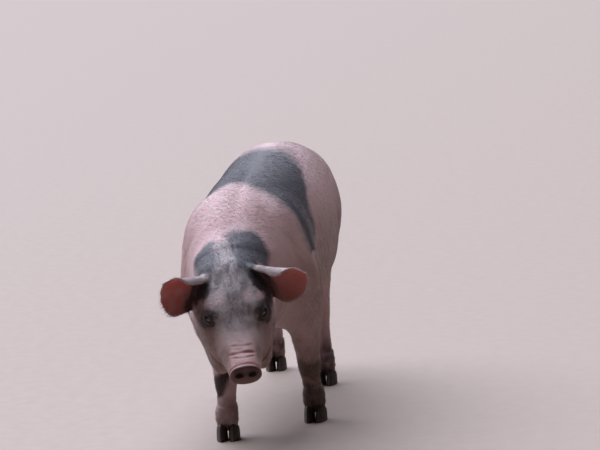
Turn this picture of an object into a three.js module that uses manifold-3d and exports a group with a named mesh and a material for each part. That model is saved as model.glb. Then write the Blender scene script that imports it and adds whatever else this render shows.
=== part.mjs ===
// A young pied pig, life-size, standing in a slow walk with its head low and turned a little to its left.
// It faces -Y, its left is +X, +Z is up, and its soles stand on z = 0. All sizes are in mm.
import * as THREE from "three";
import { mergeVertices } from "three/addons/utils/BufferGeometryUtils.js";
import Module from "manifold-3d";

const wasm = await Module();
wasm.setup();

// ---------------------------------------------------------------------------------------------
// Driving dimensions
// ---------------------------------------------------------------------------------------------

// Moves the body's own zero, under the belly, to the middle of the floor plan.
const FRAME_SHIFT = [11, 99, 0];

// Clear space between two neighbouring nodes.
const GAP = 0.36;

// Cross-sections of trunk and neck, from the throat to the buttocks:
// place along the body, height of the back, height of the belly, half width, squareness, sideways sway.
const BODY_SECTIONS = [
  [-405, 302, 218, 46, 2.0, -22],
  [-365, 331, 206, 62, 2.0, -22],
  [-320, 365, 196, 77, 2.1, -21],
  [-265, 396, 185, 91, 2.2, -19],
  [-200, 418, 178, 100, 2.3, -16],
  [-120, 430, 174, 106, 2.4, -11],
  [-20, 439, 178, 111, 2.4, -4],
  [80, 448, 190, 110, 2.4, -2],
  [165, 447, 212, 101, 2.4, -4],
  [235, 431, 242, 88, 2.3, -5],
  [290, 403, 268, 71, 2.2, -5],
  [318, 382, 286, 56, 2.1, -5],
];
const FRONT_CAP = 26;
const REAR_CAP = 26;

// Height at which trunk and head are widest, as a share of their depth.
const BODY_WIDEST = 0.43;
const HEAD_WIDEST = 0.48;

// Muscle masses that stand out from the trunk: centre (for the left side), radii, lean about X.
const SHOULDER_MASS = { at: [59, -192, 292], radii: [49, 70, 96], lean: 0.3 };
const ARM_MASS = { at: [60, -212, 230], radii: [42, 52, 54], lean: -0.2 };
const HAM_MASS = { at: [43, 232, 306], radii: [56, 88, 106], lean: 0.1 };
const BRISKET_MASS = { at: [0, -278, 232], radii: [62, 56, 46], lean: -0.4 };
const FOREQUARTER_SWAY = -17;
const HINDQUARTER_SWAY = -5;

// The head's own frame: its centre lies midway between the eyes.
const HEAD = {
  centre: [-3.5, -467, 245],
  pitch: 43,
  yaw: 13.8,
  roll: 2,
};

// Cross-sections of skull and muzzle, from poll to snout: place, top, bottom, half width, squareness.
const HEAD_SECTIONS = [
  [-128, 2, -70, 44, 2.0],
  [-100, 16, -86, 55, 2.1],
  [-70, 24, -94, 58, 2.2],
  [-40, 27, -96, 60, 2.2],
  [-10, 24, -91, 57, 2.2],
  [15, 18, -80, 51, 2.2],
  [42, 14.5, -65, 42, 2.2],
  [68, 16, -50, 34, 2.3],
  [92, 19.5, -34, 28, 2.3],
  [110, 22, -26, 26, 2.2],
  [119, 22, -22, 25, 2.2],
];
const SNOUT_CAP = 5;
const POLL_CAP = 22;
const CHEEK_MASS = { at: [33, -38, -46], radii: [28, 46, 40] };
const JOWL_MASS = { at: [32.5, 24, -42], radii: [21, 54, 23] };
const BROW_MASS = { at: [33.5, -9, 9], radii: [12, 20, 9] };
const CHIN = { from: [0, 20, -54], to: [0, 86, -33], radii: [26, 14] };
const EYE_HOLLOW = { at: [53, 27, 10], radii: [13, 25, 15] };
const NOSTRIL = { at: [9.8, 119, 6], radii: [5, 9, 6.2] };
const SNOUT_CUT = 105;
const MOUTH = { front: -17.5, corner: 38, fall: 0.2 };

const EYE = { at: [38, 2, 1], radius: 10.2 };

// The ear is a cupped leaf with its upper edge rolled forward. Along its rib: place, width below the
// rib, width above it, cup radius below, roll radius above, half thickness.
const EAR_LENGTH = 88;
const EAR_DROOP = 0.001;
const EAR_SECTIONS = [
  [-14, 22, 20, 30, 16, 6.5],
  [0, 32, 26, 36, 17, 5.2],
  [20, 46, 29.5, 50, 14, 3.6],
  [42, 54, 31, 62, 13, 2.9],
  [62, 50, 23, 76, 16, 2.5],
  [78, 35, 9, 88, 28, 2.2],
  [88, 13, 2.5, 95, 40, 1.9],
];
// For each side, in the head's frame: root, direction of the rib, direction of the upper edge, and
// the share of the width below the rib.
const EARS = {
  left: { root: [49, -79, 1], rib: [0.83, 0.42, 0.36], upper: [-0.19, -0.36, 0.91], breadth: 0.9 },
  right: { root: [-48, -76, -4], rib: [-0.73, 0.34, 0.59], upper: [0.44, -0.4, 0.81], breadth: 1 },
};

// Limbs from body to fetlock: joint place (x outward), half width across, half width fore and aft.
const LEGS = {
  fore_left: {
    side: 1,
    joints: [
      [62, -205, 262, 40, 54],
      [66, -190, 205, 34, 45],
      [66, -178, 160, 26, 31],
      [66, -168, 122, 21, 24],
      [66, -163, 98, 20, 22],
      [67, -160, 72, 16.5, 17.5],
      [68, -153, 44, 18, 19],
    ],
    foot: [68, -155],
    splay: 4,
  },
  fore_right: {
    side: -1,
    joints: [
      [88, -212, 262, 38, 54],
      [84, -210, 205, 33, 45],
      [71, -230, 160, 25, 31],
      [65, -250, 122, 20.5, 24],
      [64, -256, 98, 19.5, 22],
      [65, -255, 72, 16.5, 17.5],
      [67, -256, 44, 18, 19],
    ],
    foot: [67, -262],
    splay: 2,
  },
  hind_left: {
    side: 1,
    joints: [
      [46, 192, 312, 42, 72],
      [48, 166, 252, 36, 57],
      [49, 168, 205, 27, 40],
      [48, 186, 160, 20, 27],
      [47, 194, 130, 18.5, 25],
      [48, 182, 92, 16, 18.5],
      [51, 160, 47, 17.5, 19],
    ],
    foot: [53, 150],
    splay: 4,
  },
  hind_right: {
    side: -1,
    joints: [
      [54, 222, 312, 42, 72],
      [58, 216, 252, 36, 58],
      [59, 248, 205, 28, 41],
      [59, 290, 160, 20, 28],
      [58, 312, 132, 19, 25],
      [58, 314, 92, 16.5, 18.5],
      [60, 318, 47, 18, 19],
    ],
    foot: [60, 314],
    splay: 3,
  },
};

// The two soft toes above the claws: radii at root and tip, depth against width, place and heights.
const TOE = { root: 13, tip: 8, depth: 1.35, apart: 5, behind: 4, height: 44, end: 21 };

// One toe's horny claw: length before and behind its centre, half width, heights at front and heel.
const CLAW = { front: 25, back: 15, half: 9.2, coronetFront: 31, coronetBack: 15, apart: 10.6 };
const DEWCLAW = { apart: 12, behind: 22, height: 47, radii: [6, 8, 10.5], lean: 0.5 };

// The tail hangs from the croup and makes one turn to the pig's left.
const TAIL = { root: [-5, 322, 376], reach: 36, drop: 34, turn: 15, turns: 1.15, pitch: 14 };
const TAIL_RADII = [13, 8.5, 6.3, 5.3, 4.5, 3.8, 3];

// Cell sizes of the solids' faces.
const CELLS = { trunk: [24, 36, 23], neck: [22, 22, 22], head: [13.4, 13.4, 13.4] };
const LEG_CELLS = { upper: [20.5, 21.5, 23], lower: [12.8, 13.8, 19] };

// Where the nodes are parted: a point on each plane and the way it looks.
const HEAD_PLANE = { at: [-24, -391, 325], normal: [0.22, -0.91, -0.34] };
const NECK_PLANE = { at: [-20, -276, 325], normal: [0.05, -0.92, 0.38] };
const FORE_PARTING = { inner: [18, 174], outer: [135, 268], front: -350, back: -112, knee: 121, rake: 0.75 };
const HIND_PARTING = { inner: [20, 196], outer: [125, 325], front: 118, back: 420, knee: 158, rake: 0.5 };

// ---------------------------------------------------------------------------------------------
// Small tools for distances
// ---------------------------------------------------------------------------------------------

const radians = (degrees) => (degrees * Math.PI) / 180;
const clamp = (value, low, high) => Math.min(Math.max(value, low), high);

// Value at place t of a smooth curve through the rows of a table, for one column.
function tableValue(rows, t, column) {
  const last = rows.length - 1;
  if (t <= rows[0][0]) return rows[0][column];
  if (t >= rows[last][0]) return rows[last][column];
  let i = 0;
  while (t > rows[i + 1][0]) i += 1;
  const slope = (k) => {
    const a = Math.max(k - 1, 0);
    const b = Math.min(k + 1, last);
    return (rows[b][column] - rows[a][column]) / (rows[b][0] - rows[a][0]);
  };
  const span = rows[i + 1][0] - rows[i][0];
  const u = (t - rows[i][0]) / span;
  const v = 1 - u;
  return (
    rows[i][column] * (1 + 2 * u) * v * v +
    rows[i + 1][column] * u * u * (3 - 2 * u) +
    slope(i) * span * u * v * v -
    slope(i + 1) * span * u * u * v
  );
}

// Union of two distances with a fillet of size k.
function blend(a, b, k) {
  const h = Math.max(k - Math.abs(a - b), 0) / k;
  return Math.min(a, b) - (h * h * k) / 4;
}

// About the distance to a superellipsoid with the given radii and squareness.
function roundDistance(x, y, z, rx, ry, rz, power = 2) {
  const sum = Math.abs(x / rx) ** power + Math.abs(y / ry) ** power + Math.abs(z / rz) ** power;
  const g = sum ** (1 / power);
  const slope = Math.hypot(x / rx ** 2, y / ry ** 2, z / rz ** 2);
  return slope < 1e-9 ? -Math.min(rx, ry, rz) : ((g - 1) * g) / slope;
}

// Distance to a mass of muscle; lean turns it about X.
function massDistance(p, mass, side = 1, sway = 0) {
  const x = p[0] - mass.at[0] * side - sway;
  const y = p[1] - mass.at[1];
  const z = p[2] - mass.at[2];
  const c = Math.cos(mass.lean ?? 0);
  const s = Math.sin(mass.lean ?? 0);
  return roundDistance(x, y * c + z * s, z * c - y * s, ...mass.radii);
}

// Distance to a stretched body with sections along t; x across and z up in the section.
function loftDistance(rows, t, x, z, widest, frontCap, rearCap, swayColumn) {
  const first = rows[0][0];
  const last = rows[rows.length - 1][0];
  const place = Math.min(Math.max(t, first), last);
  const top = tableValue(rows, place, 1);
  const bottom = tableValue(rows, place, 2);
  const half = tableValue(rows, place, 3);
  const power = tableValue(rows, place, 4);
  const sway = swayColumn ? tableValue(rows, place, swayColumn) : 0;
  const beyond = t < first ? first - t : Math.max(t - last, 0);
  const cap = t < first ? frontCap : rearCap;
  const middle = bottom + (top - bottom) * widest;
  const reach = z > middle ? top - middle : middle - bottom;
  return roundDistance(x - sway, beyond, z - middle, half, cap, reach, power);
}

// ---------------------------------------------------------------------------------------------
// The head's frame
// ---------------------------------------------------------------------------------------------

const headAxes = (() => {
  const b = radians(HEAD.pitch);
  const w = radians(HEAD.yaw);
  const r = radians(HEAD.roll);
  const level = new THREE.Vector3(Math.sin(w), -Math.cos(w), 0);
  const across = new THREE.Vector3(Math.cos(w), Math.sin(w), 0);
  const up = new THREE.Vector3(0, 0, 1);
  const forward = level.clone().multiplyScalar(Math.cos(b)).addScaledVector(up, -Math.sin(b));
  const above = level.clone().multiplyScalar(Math.sin(b)).addScaledVector(up, Math.cos(b));
  const left = across.clone().multiplyScalar(Math.cos(r)).addScaledVector(above, Math.sin(r));
  const crown = above.clone().multiplyScalar(Math.cos(r)).addScaledVector(across, -Math.sin(r));
  return { left, forward, crown };
})();
const headCentre = new THREE.Vector3(...HEAD.centre);

const toHead = (p) => {
  const d = new THREE.Vector3(...p).sub(headCentre);
  return [d.dot(headAxes.left), d.dot(headAxes.forward), d.dot(headAxes.crown)];
};

const directionFromHead = (v) =>
  new THREE.Vector3()
    .addScaledVector(headAxes.left, v[0])
    .addScaledVector(headAxes.forward, v[1])
    .addScaledVector(headAxes.crown, v[2]);

const fromHead = (v) => directionFromHead(v).add(headCentre);

// ---------------------------------------------------------------------------------------------
// The body as one distance
// ---------------------------------------------------------------------------------------------

function headDistance(p) {
  const [x, t, z] = toHead(p);
  let d = loftDistance(HEAD_SECTIONS, t, x, z, HEAD_WIDEST, POLL_CAP, SNOUT_CAP);
  for (const side of [1, -1]) {
    d = blend(d, massDistance([x, t, z], CHEEK_MASS, side), 26);
    d = blend(d, massDistance([x, t, z], JOWL_MASS, side), 16);
    d = blend(d, massDistance([x, t, z], BROW_MASS, side), 14);
    d = -blend(-d, massDistance([x, t, z], EYE_HOLLOW, side), 14);
  }
  const [, t0, z0] = CHIN.from;
  const [, t1, z1] = CHIN.to;
  const along = (t - t0) * (t1 - t0) + (z - z0) * (z1 - z0);
  const u = clamp(along / ((t1 - t0) ** 2 + (z1 - z0) ** 2), 0, 1);
  const radius = CHIN.radii[0] + (CHIN.radii[1] - CHIN.radii[0]) * u;
  const chin = Math.hypot(x, t - t0 - (t1 - t0) * u, z - z0 - (z1 - z0) * u) - radius;
  return blend(d, chin, 10);
}

// Points of a limb's axis, made dense so that its bends are round.
function limbAxis(leg) {
  const joints = leg.joints.map((j) => new THREE.Vector3(j[0] * leg.side, j[1], j[2]));
  const centre = new THREE.CatmullRomCurve3(joints);
  const size = new THREE.CatmullRomCurve3(leg.joints.map((j) => new THREE.Vector3(j[3], j[4], 0)));
  const count = (leg.joints.length - 1) * 3;
  return Array.from({ length: count + 1 }, (_, i) => {
    const c = centre.getPoint(i / count);
    const s = size.getPoint(i / count);
    return [c.x, c.y, c.z, s.x, s.y];
  });
}
const limbAxes = Object.fromEntries(Object.entries(LEGS).map(([name, leg]) => [name, limbAxis(leg)]));

function limbDistance(p, axis) {
  let best = Infinity;
  for (let i = 0; i + 1 < axis.length; i += 1) {
    const a = axis[i];
    const b = axis[i + 1];
    const d = [b[0] - a[0], b[1] - a[1], b[2] - a[2]];
    const q = [p[0] - a[0], p[1] - a[1], p[2] - a[2]];
    const dot = q[0] * d[0] + q[1] * d[1] + q[2] * d[2];
    const u = clamp(dot / (d[0] ** 2 + d[1] ** 2 + d[2] ** 2), 0, 1);
    const away = q.map((value, axis) => value - d[axis] * u);
    const across = a[3] + (b[3] - a[3]) * u;
    const along = a[4] + (b[4] - a[4]) * u;
    best = Math.min(best, roundDistance(...away, across, along, (across + along) / 2));
  }
  return best;
}

// The two soft toes above a foot's claws.
function toeDistance(p, leg) {
  const [x, y] = leg.foot;
  let best = Infinity;
  for (const way of [1, -1]) {
    const top = [(x + way * TOE.apart) * leg.side, y + TOE.behind, TOE.height];
    const tip = [(x + way * CLAW.apart) * leg.side, y + 1, TOE.end];
    const d = [tip[0] - top[0], tip[1] - top[1], tip[2] - top[2]];
    const q = [p[0] - top[0], p[1] - top[1], p[2] - top[2]];
    const dot = q[0] * d[0] + q[1] * d[1] + q[2] * d[2];
    const u = clamp(dot / (d[0] ** 2 + d[1] ** 2 + d[2] ** 2), 0, 1);
    const radius = TOE.root + (TOE.tip - TOE.root) * u;
    const away = q.map((value, axis) => value - d[axis] * u);
    best = Math.min(best, roundDistance(...away, radius, radius * TOE.depth, radius));
  }
  return best;
}

function bodyDistance(x, y, z) {
  const p = [x, y, z];
  let d = loftDistance(BODY_SECTIONS, y, x, z, BODY_WIDEST, FRONT_CAP, REAR_CAP, 5);
  d = blend(d, massDistance(p, BRISKET_MASS, 1, FOREQUARTER_SWAY), 40);
  for (const side of [1, -1]) {
    d = blend(d, massDistance(p, SHOULDER_MASS, side, FOREQUARTER_SWAY), 30);
    d = blend(d, massDistance(p, ARM_MASS, side, FOREQUARTER_SWAY), 30);
    d = blend(d, massDistance(p, HAM_MASS, side, HINDQUARTER_SWAY), 30);
  }
  for (const [name, leg] of Object.entries(LEGS)) {
    const limb = blend(limbDistance(p, limbAxes[name]), toeDistance(p, leg), 8);
    d = blend(d, limb, 26);
  }
  return blend(d, headDistance(p), 24);
}

// ---------------------------------------------------------------------------------------------
// Faces and solids
// ---------------------------------------------------------------------------------------------

function geometryOf(positions, index) {
  const geometry = new THREE.BufferGeometry();
  geometry.setAttribute("position", new THREE.Float32BufferAttribute(positions, 3));
  geometry.setIndex(index);
  return geometry;
}

function solidOf(geometry) {
  const bare = geometry.clone();
  bare.deleteAttribute("normal");
  bare.deleteAttribute("uv");
  const merged = mergeVertices(bare, 1e-4);
  const mesh = new wasm.Mesh({
    numProp: 3,
    vertProperties: new Float32Array(merged.attributes.position.array),
    triVerts: new Uint32Array(merged.index.array),
  });
  return new wasm.Manifold(mesh);
}

// Steps a point onto the surface where the distance is the given level.
function settle(distance, p, level, steps) {
  const e = 0.5;
  for (let k = 0; k < steps; k += 1) {
    const d = distance(...p) - level;
    const g = [0, 1, 2].map((a) => {
      const plus = p.slice();
      const minus = p.slice();
      plus[a] += e;
      minus[a] -= e;
      return (distance(...plus) - distance(...minus)) / (2 * e);
    });
    const g2 = Math.max(g[0] ** 2 + g[1] ** 2 + g[2] ** 2, 0.05);
    for (let a = 0; a < 3; a += 1) p[a] -= (d * g[a]) / g2;
  }
  return p;
}

// The corners, edges and faces of a grid cell; an edge is a pair of corners, a face lists four in order.
const CORNERS = [0, 1, 2, 3, 4, 5, 6, 7].map((c) => [c & 1, (c >> 1) & 1, (c >> 2) & 1]);
const EDGES = CORNERS.flatMap((_, a) => [1, 2, 4].filter((bit) => !(a & bit)).map((bit) => [a, a | bit]));
const FACES = [
  [0, 1, 3, 2],
  [4, 5, 7, 6],
  [0, 1, 5, 4],
  [2, 3, 7, 6],
  [0, 2, 6, 4],
  [1, 3, 7, 5],
];
const edgeBetween = (a, b) => EDGES.findIndex((e) => e[0] === Math.min(a, b) && e[1] === Math.max(a, b));

// Sorts a cell's crossed edges into the separate patches of surface that pass through the cell.
function cellPatches(values) {
  const patch = EDGES.map(([a, b], e) => (values[a] < 0 !== values[b] < 0 ? e : -1));
  const join = (a, b) => {
    const [from, to] = [patch[b], patch[a]];
    for (let e = 0; e < patch.length; e += 1) if (patch[e] === from) patch[e] = to;
  };
  for (const face of FACES) {
    const rim = face.map((corner, i) => edgeBetween(corner, face[(i + 1) % 4]));
    const crossed = rim.filter((e) => patch[e] >= 0);
    if (crossed.length === 2) join(...crossed);
    if (crossed.length === 4) {
      face.forEach((corner, i) => {
        if (values[corner] < 0) join(rim[i], rim[(i + 3) % 4]);
      });
    }
  }
  return patch;
}

// Closed mesh of the surface where the distance is zero, in a box, one vertex in each crossed cell.
function netSolid(distance, low, high, cell) {
  const n = [0, 1, 2].map((a) => Math.ceil((high[a] - low[a]) / cell[a]) + 1);
  const at = (i, j, k) => (i * n[1] + j) * n[2] + k;
  const atRim = (i, j, k, inset) =>
    Math.min(i, j, k) === 0 || i === n[0] - inset || j === n[1] - inset || k === n[2] - inset;
  const values = new Float64Array(n[0] * n[1] * n[2]);
  const corner = (i, j, k) => [low[0] + i * cell[0], low[1] + j * cell[1], low[2] + k * cell[2]];
  for (let i = 0; i < n[0]; i += 1) {
    for (let j = 0; j < n[1]; j += 1) {
      for (let k = 0; k < n[2]; k += 1) {
        const d = distance(...corner(i, j, k));
        values[at(i, j, k)] = atRim(i, j, k, 1) ? Math.max(d, 1) : d;
      }
    }
  }
  const vertexOf = new Int32Array(values.length * EDGES.length).fill(-1);
  const positions = [];
  for (let i = 0; i + 1 < n[0]; i += 1) {
    for (let j = 0; j + 1 < n[1]; j += 1) {
      for (let k = 0; k + 1 < n[2]; k += 1) {
        const v = CORNERS.map((c) => values[at(i + c[0], j + c[1], k + c[2])]);
        if (v.every((value) => value < 0) || v.every((value) => value >= 0)) continue;
        const patch = cellPatches(v);
        const c = corner(i, j, k);
        for (const label of new Set(patch.filter((e) => e >= 0))) {
          const sum = [0, 0, 0];
          let count = 0;
          EDGES.forEach(([a, b], e) => {
            if (patch[e] !== label) return;
            const t = v[a] / (v[a] - v[b]);
            for (let x = 0; x < 3; x += 1) sum[x] += CORNERS[a][x] + (CORNERS[b][x] - CORNERS[a][x]) * t;
            count += 1;
            vertexOf[at(i, j, k) * EDGES.length + e] = positions.length / 3;
          });
          const raw = c.map((value, a) => value + (sum[a] / count) * cell[a]);
          const p = atRim(i, j, k, 2) ? raw : settle(distance, raw.slice(), 0, 3);
          const reach = 0.3;
          positions.push(
            ...p.map((value, a) => clamp(value, c[a] - cell[a] * reach, c[a] + cell[a] * (1 + reach))),
          );
        }
      }
    }
  }
  const index = [];
  const far = (a, b) => Math.hypot(...[0, 1, 2].map((x) => positions[a * 3 + x] - positions[b * 3 + x]));
  const quad = (a, b, c, d) => {
    if (far(a, c) <= far(b, d)) index.push(a, b, c, a, c, d);
    else index.push(b, c, d, b, d, a);
  };
  const turns = [
    [0, 0],
    [1, 0],
    [1, 1],
    [0, 1],
  ];
  for (let i = 0; i + 1 < n[0]; i += 1) {
    for (let j = 0; j + 1 < n[1]; j += 1) {
      for (let k = 0; k + 1 < n[2]; k += 1) {
        const inside = values[at(i, j, k)] < 0;
        for (let axis = 0; axis < 3; axis += 1) {
          if ([i, j, k].some((place, a) => a !== axis && place === 0)) continue;
          const step = [0, 1, 2].map((a) => (a === axis ? 1 : 0));
          if (values[at(i + step[0], j + step[1], k + step[2])] < 0 === inside) continue;
          const [u, w] = [(axis + 1) % 3, (axis + 2) % 3];
          const cells = turns.map(([du, dw]) => {
            const back = [0, 0, 0];
            back[u] = 1 - du;
            back[w] = 1 - dw;
            const a = back[0] | (back[1] << 1) | (back[2] << 2);
            const e = edgeBetween(a, a | (1 << axis));
            return vertexOf[at(i - back[0], j - back[1], k - back[2]) * EDGES.length + e];
          });
          if (inside) quad(...cells);
          else quad(...cells.reverse());
        }
      }
    }
  }
  return solidOf(geometryOf(positions, index));
}

// A big block that fills the side of a plane that its normal looks at.
function blockBeyond(at, normal) {
  const size = 1400;
  const n = new THREE.Vector3(...normal).normalize();
  const block = new THREE.BoxGeometry(size, size, size);
  block.translate(0, 0, size / 2);
  block.applyQuaternion(new THREE.Quaternion().setFromUnitVectors(new THREE.Vector3(0, 0, 1), n));
  block.translate(...at);
  return solidOf(block);
}

const shifted = (at, normal, way) => {
  const n = new THREE.Vector3(...normal).normalize().multiplyScalar(way);
  return [at[0] + n.x, at[1] + n.y, at[2] + n.z];
};

// Keeps the part of a solid on the side of a plane that its normal looks at, half a gap clear of it.
const keepBeyond = (solid, { at, normal }) =>
  solid.intersect(blockBeyond(shifted(at, normal, GAP / 2), normal));
const keepBefore = (solid, { at, normal }) =>
  keepBeyond(solid, { at, normal: normal.map((v) => -v) });

// Moves every vertex of a solid outward by a distance.
function grown(solid, amount) {
  const mesh = solid.getMesh();
  const geometry = geometryOf(Array.from(mesh.vertProperties), Array.from(mesh.triVerts));
  geometry.computeVertexNormals();
  const p = geometry.attributes.position;
  const n = geometry.attributes.normal;
  for (let i = 0; i < p.count; i += 1) {
    const moved = new THREE.Vector3().fromBufferAttribute(p, i);
    moved.addScaledVector(new THREE.Vector3().fromBufferAttribute(n, i), amount);
    p.setXYZ(i, moved.x, moved.y, moved.z);
  }
  return solidOf(geometry);
}

// Keeps only the largest of a solid's separate pieces.
function largest(solid) {
  const pieces = solid.decompose();
  return pieces.reduce((best, piece) => (piece.volume() > best.volume() ? piece : best), pieces[0]);
}

// ---------------------------------------------------------------------------------------------
// Ears, tail, claws and eyes
// ---------------------------------------------------------------------------------------------

// The ear as a closed sheet between its inner and outer face.
function earSolid(ear) {
  const rib = directionFromHead(ear.rib).normalize();
  const upper = directionFromHead(ear.upper);
  upper.addScaledVector(rib, -upper.dot(rib)).normalize();
  const outward = new THREE.Vector3().crossVectors(rib, upper);
  const side = Math.sign(ear.root[0]);
  const backward = outward.multiplyScalar(-side);
  const root = fromHead(ear.root);
  const rows = 8;
  const columns = 7;
  const start = EAR_SECTIONS[0][0];
  const positions = [];
  const point = (i, j, face) => {
    const a = start + (EAR_LENGTH - start) * Math.sin(((i / rows) * Math.PI) / 2) ** 0.9;
    const sizes = [1, 2, 3, 4, 5].map((c) => tableValue(EAR_SECTIONS, a, c));
    const [lower, higher, cupBelow, cupAbove, thick] = sizes;
    const w = (j / columns) * 2 - 1;
    const s = w > 0 ? w * higher : w * lower * ear.breadth;
    const cup = w > 0 ? cupAbove : cupBelow;
    const thin = thick * Math.sqrt(Math.max(1 - Math.abs(w) ** 5, 0));
    const angle = s / cup;
    const radius = cup + face * thin;
    const b = Math.sin(angle) * radius;
    const c = Math.cos(angle) * radius - cup - EAR_DROOP * a * a;
    return root.clone().addScaledVector(rib, a).addScaledVector(upper, b).addScaledVector(backward, c);
  };
  const ring = columns * 2;
  for (let i = 0; i <= rows; i += 1) {
    for (let j = 0; j < ring; j += 1) {
      const p = j <= columns ? point(i, j, 1) : point(i, ring - j, -1);
      positions.push(p.x, p.y, p.z);
    }
  }
  const index = [];
  for (let i = 0; i < rows; i += 1) {
    for (let j = 0; j < ring; j += 1) {
      const a = i * ring + j;
      const b = i * ring + ((j + 1) % ring);
      index.push(a, b, b + ring, a, b + ring, a + ring);
    }
  }
  for (let j = 0; j + 1 < columns; j += 1) {
    const pairs = (base) =>
      [j, j + 1, (ring - j - 1) % ring, (ring - j) % ring].map((step) => base + step);
    const [a, b, c, d] = pairs(0);
    index.push(a, c, b);
    if (j > 0) index.push(a, d, c);
    const [e, f, g, h] = pairs(rows * ring);
    index.push(e, f, g);
    if (j > 0) index.push(e, g, h);
  }
  const lastPair = (base) => [base + columns - 1, base + columns, base + columns + 1];
  const [a, b, c] = lastPair(0);
  index.push(a, c, b);
  const [e, f, g] = lastPair(rows * ring);
  index.push(e, f, g);
  const solid = solidOf(geometryOf(positions, index));
  if (solid.volume() > 0) return solid;
  for (let i = 0; i < index.length; i += 3) [index[i], index[i + 1]] = [index[i + 1], index[i]];
  return solidOf(geometryOf(positions, index));
}

// A tapered tube along a curve, with round ends.
function taperedTube(points, radii, rings, sides) {
  const curve = new THREE.CatmullRomCurve3(points);
  const frames = curve.computeFrenetFrames(rings, false);
  const positions = [];
  for (let i = 0; i <= rings; i += 1) {
    const t = i / rings;
    const p = curve.getPointAt(t);
    const place = t * (radii.length - 1);
    const k = Math.min(Math.floor(place), radii.length - 2);
    const radius = radii[k] + (radii[k + 1] - radii[k]) * (place - k);
    for (let j = 0; j < sides; j += 1) {
      const angle = (j / sides) * Math.PI * 2;
      const q = p
        .clone()
        .addScaledVector(frames.normals[i], Math.cos(angle) * radius)
        .addScaledVector(frames.binormals[i], Math.sin(angle) * radius);
      positions.push(q.x, q.y, q.z);
    }
  }
  const index = [];
  for (let i = 0; i < rings; i += 1) {
    for (let j = 0; j < sides; j += 1) {
      const a = i * sides + j;
      const b = i * sides + ((j + 1) % sides);
      index.push(a, b, b + sides, a, b + sides, a + sides);
    }
  }
  const tip = curve.getPointAt(1).addScaledVector(frames.tangents[rings], radii[radii.length - 1]);
  const butt = curve.getPointAt(0).addScaledVector(frames.tangents[0], -radii[0] * 0.5);
  const first = positions.length / 3;
  positions.push(butt.x, butt.y, butt.z, tip.x, tip.y, tip.z);
  for (let j = 0; j < sides; j += 1) {
    const next = (j + 1) % sides;
    index.push(first, next, j, first + 1, rings * sides + j, rings * sides + next);
  }
  return solidOf(geometryOf(positions, index));
}

// Points along the middle of the tail.
function tailPoints() {
  const [x, y, z] = TAIL.root;
  const count = 14;
  const points = [new THREE.Vector3(x, y - 22, z + 8), new THREE.Vector3(x, y, z)];
  points.push(new THREE.Vector3(x - 2, y + TAIL.reach * 0.55, z - TAIL.drop * 0.35));
  for (let i = 0; i <= count; i += 1) {
    const angle = (i / count) * TAIL.turns * Math.PI * 2;
    points.push(
      new THREE.Vector3(
        x + TAIL.turn * (1 - Math.cos(angle)) - 4,
        y + TAIL.reach + TAIL.pitch * (i / count) * 0.6,
        z - TAIL.drop - TAIL.turn * Math.sin(angle) - TAIL.pitch * (i / count),
      ),
    );
  }
  return points;
}

// One toe's claw, from a flat sole up to the coronet; way is the side of the foot it stands on.
function clawSolid(leg, way, extra = 0) {
  const turn = radians(-leg.splay * leg.side);
  const rings = [
    [0, 0.97],
    [0.45, 0.95],
    [0.86, 0.87],
    [1, 0.72],
  ];
  const sides = 10;
  const positions = [];
  const place = (x, y, z) => {
    const c = Math.cos(turn);
    const s = Math.sin(turn);
    positions.push(leg.foot[0] * leg.side + x * c - y * s, leg.foot[1] + x * s + y * c, z);
  };
  for (const [height, scale] of rings) {
    for (let j = 0; j < sides; j += 1) {
      const angle = (j / sides) * Math.PI * 2;
      const ahead = Math.cos(angle);
      const length = ahead > 0 ? CLAW.front : CLAW.back;
      const wide = Math.sin(angle) * (ahead > 0 ? 1 - 0.34 * ahead ** 2 : 1);
      const outer = Math.sign(Math.sin(angle)) === way ? 1.08 : 0.9;
      const y = -ahead * (length * scale + extra) + height * 6;
      const x = way * CLAW.apart + wide * outer * (CLAW.half * scale + extra);
      const slant = (CLAW.coronetFront - CLAW.coronetBack) / (CLAW.front + CLAW.back);
      const coronet = (CLAW.coronetFront + CLAW.coronetBack) / 2 - y * slant;
      place(x, y, height * (coronet + extra) - (height === 0 ? extra : 0));
    }
  }
  const index = [];
  for (let i = 0; i + 1 < rings.length; i += 1) {
    for (let j = 0; j < sides; j += 1) {
      const a = i * sides + j;
      const b = i * sides + ((j + 1) % sides);
      index.push(a, b, b + sides, a, b + sides, a + sides);
    }
  }
  const top = (rings.length - 1) * sides;
  for (let j = 1; j + 1 < sides; j += 1) index.push(0, j + 1, j, top, top + j, top + j + 1);
  return solidOf(geometryOf(positions, index));
}

function ballSolid(centre, radii, around, down, turn) {
  const ball = new THREE.SphereGeometry(1, around, down);
  ball.scale(...radii);
  if (turn) ball.applyMatrix4(turn);
  ball.translate(...centre);
  return solidOf(ball);
}

function dewclawSolid(leg, way, extra = 0) {
  const centre = [
    (leg.foot[0] + way * DEWCLAW.apart) * leg.side,
    leg.joints[leg.joints.length - 1][1] + DEWCLAW.behind,
    DEWCLAW.height,
  ];
  const turn = new THREE.Matrix4().makeRotationX(DEWCLAW.lean);
  return ballSolid(centre, DEWCLAW.radii.map((r) => r + extra), 7, 5, turn);
}

const headTurn = new THREE.Matrix4();
headTurn.makeBasis(headAxes.left, headAxes.forward.clone().negate(), headAxes.crown);

function eyeSolid(side, extra = 0) {
  const centre = fromHead([EYE.at[0] * side, EYE.at[1], EYE.at[2]]);
  const radius = EYE.radius + extra;
  return ballSolid([centre.x, centre.y, centre.z], [radius, radius, radius], 10, 7, headTurn);
}

function nostrilSolid(side) {
  const centre = fromHead([NOSTRIL.at[0] * side, NOSTRIL.at[1], NOSTRIL.at[2]]);
  return ballSolid([centre.x, centre.y, centre.z], NOSTRIL.radii, 8, 6, headTurn);
}

// ---------------------------------------------------------------------------------------------
// The nodes
// ---------------------------------------------------------------------------------------------

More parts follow.
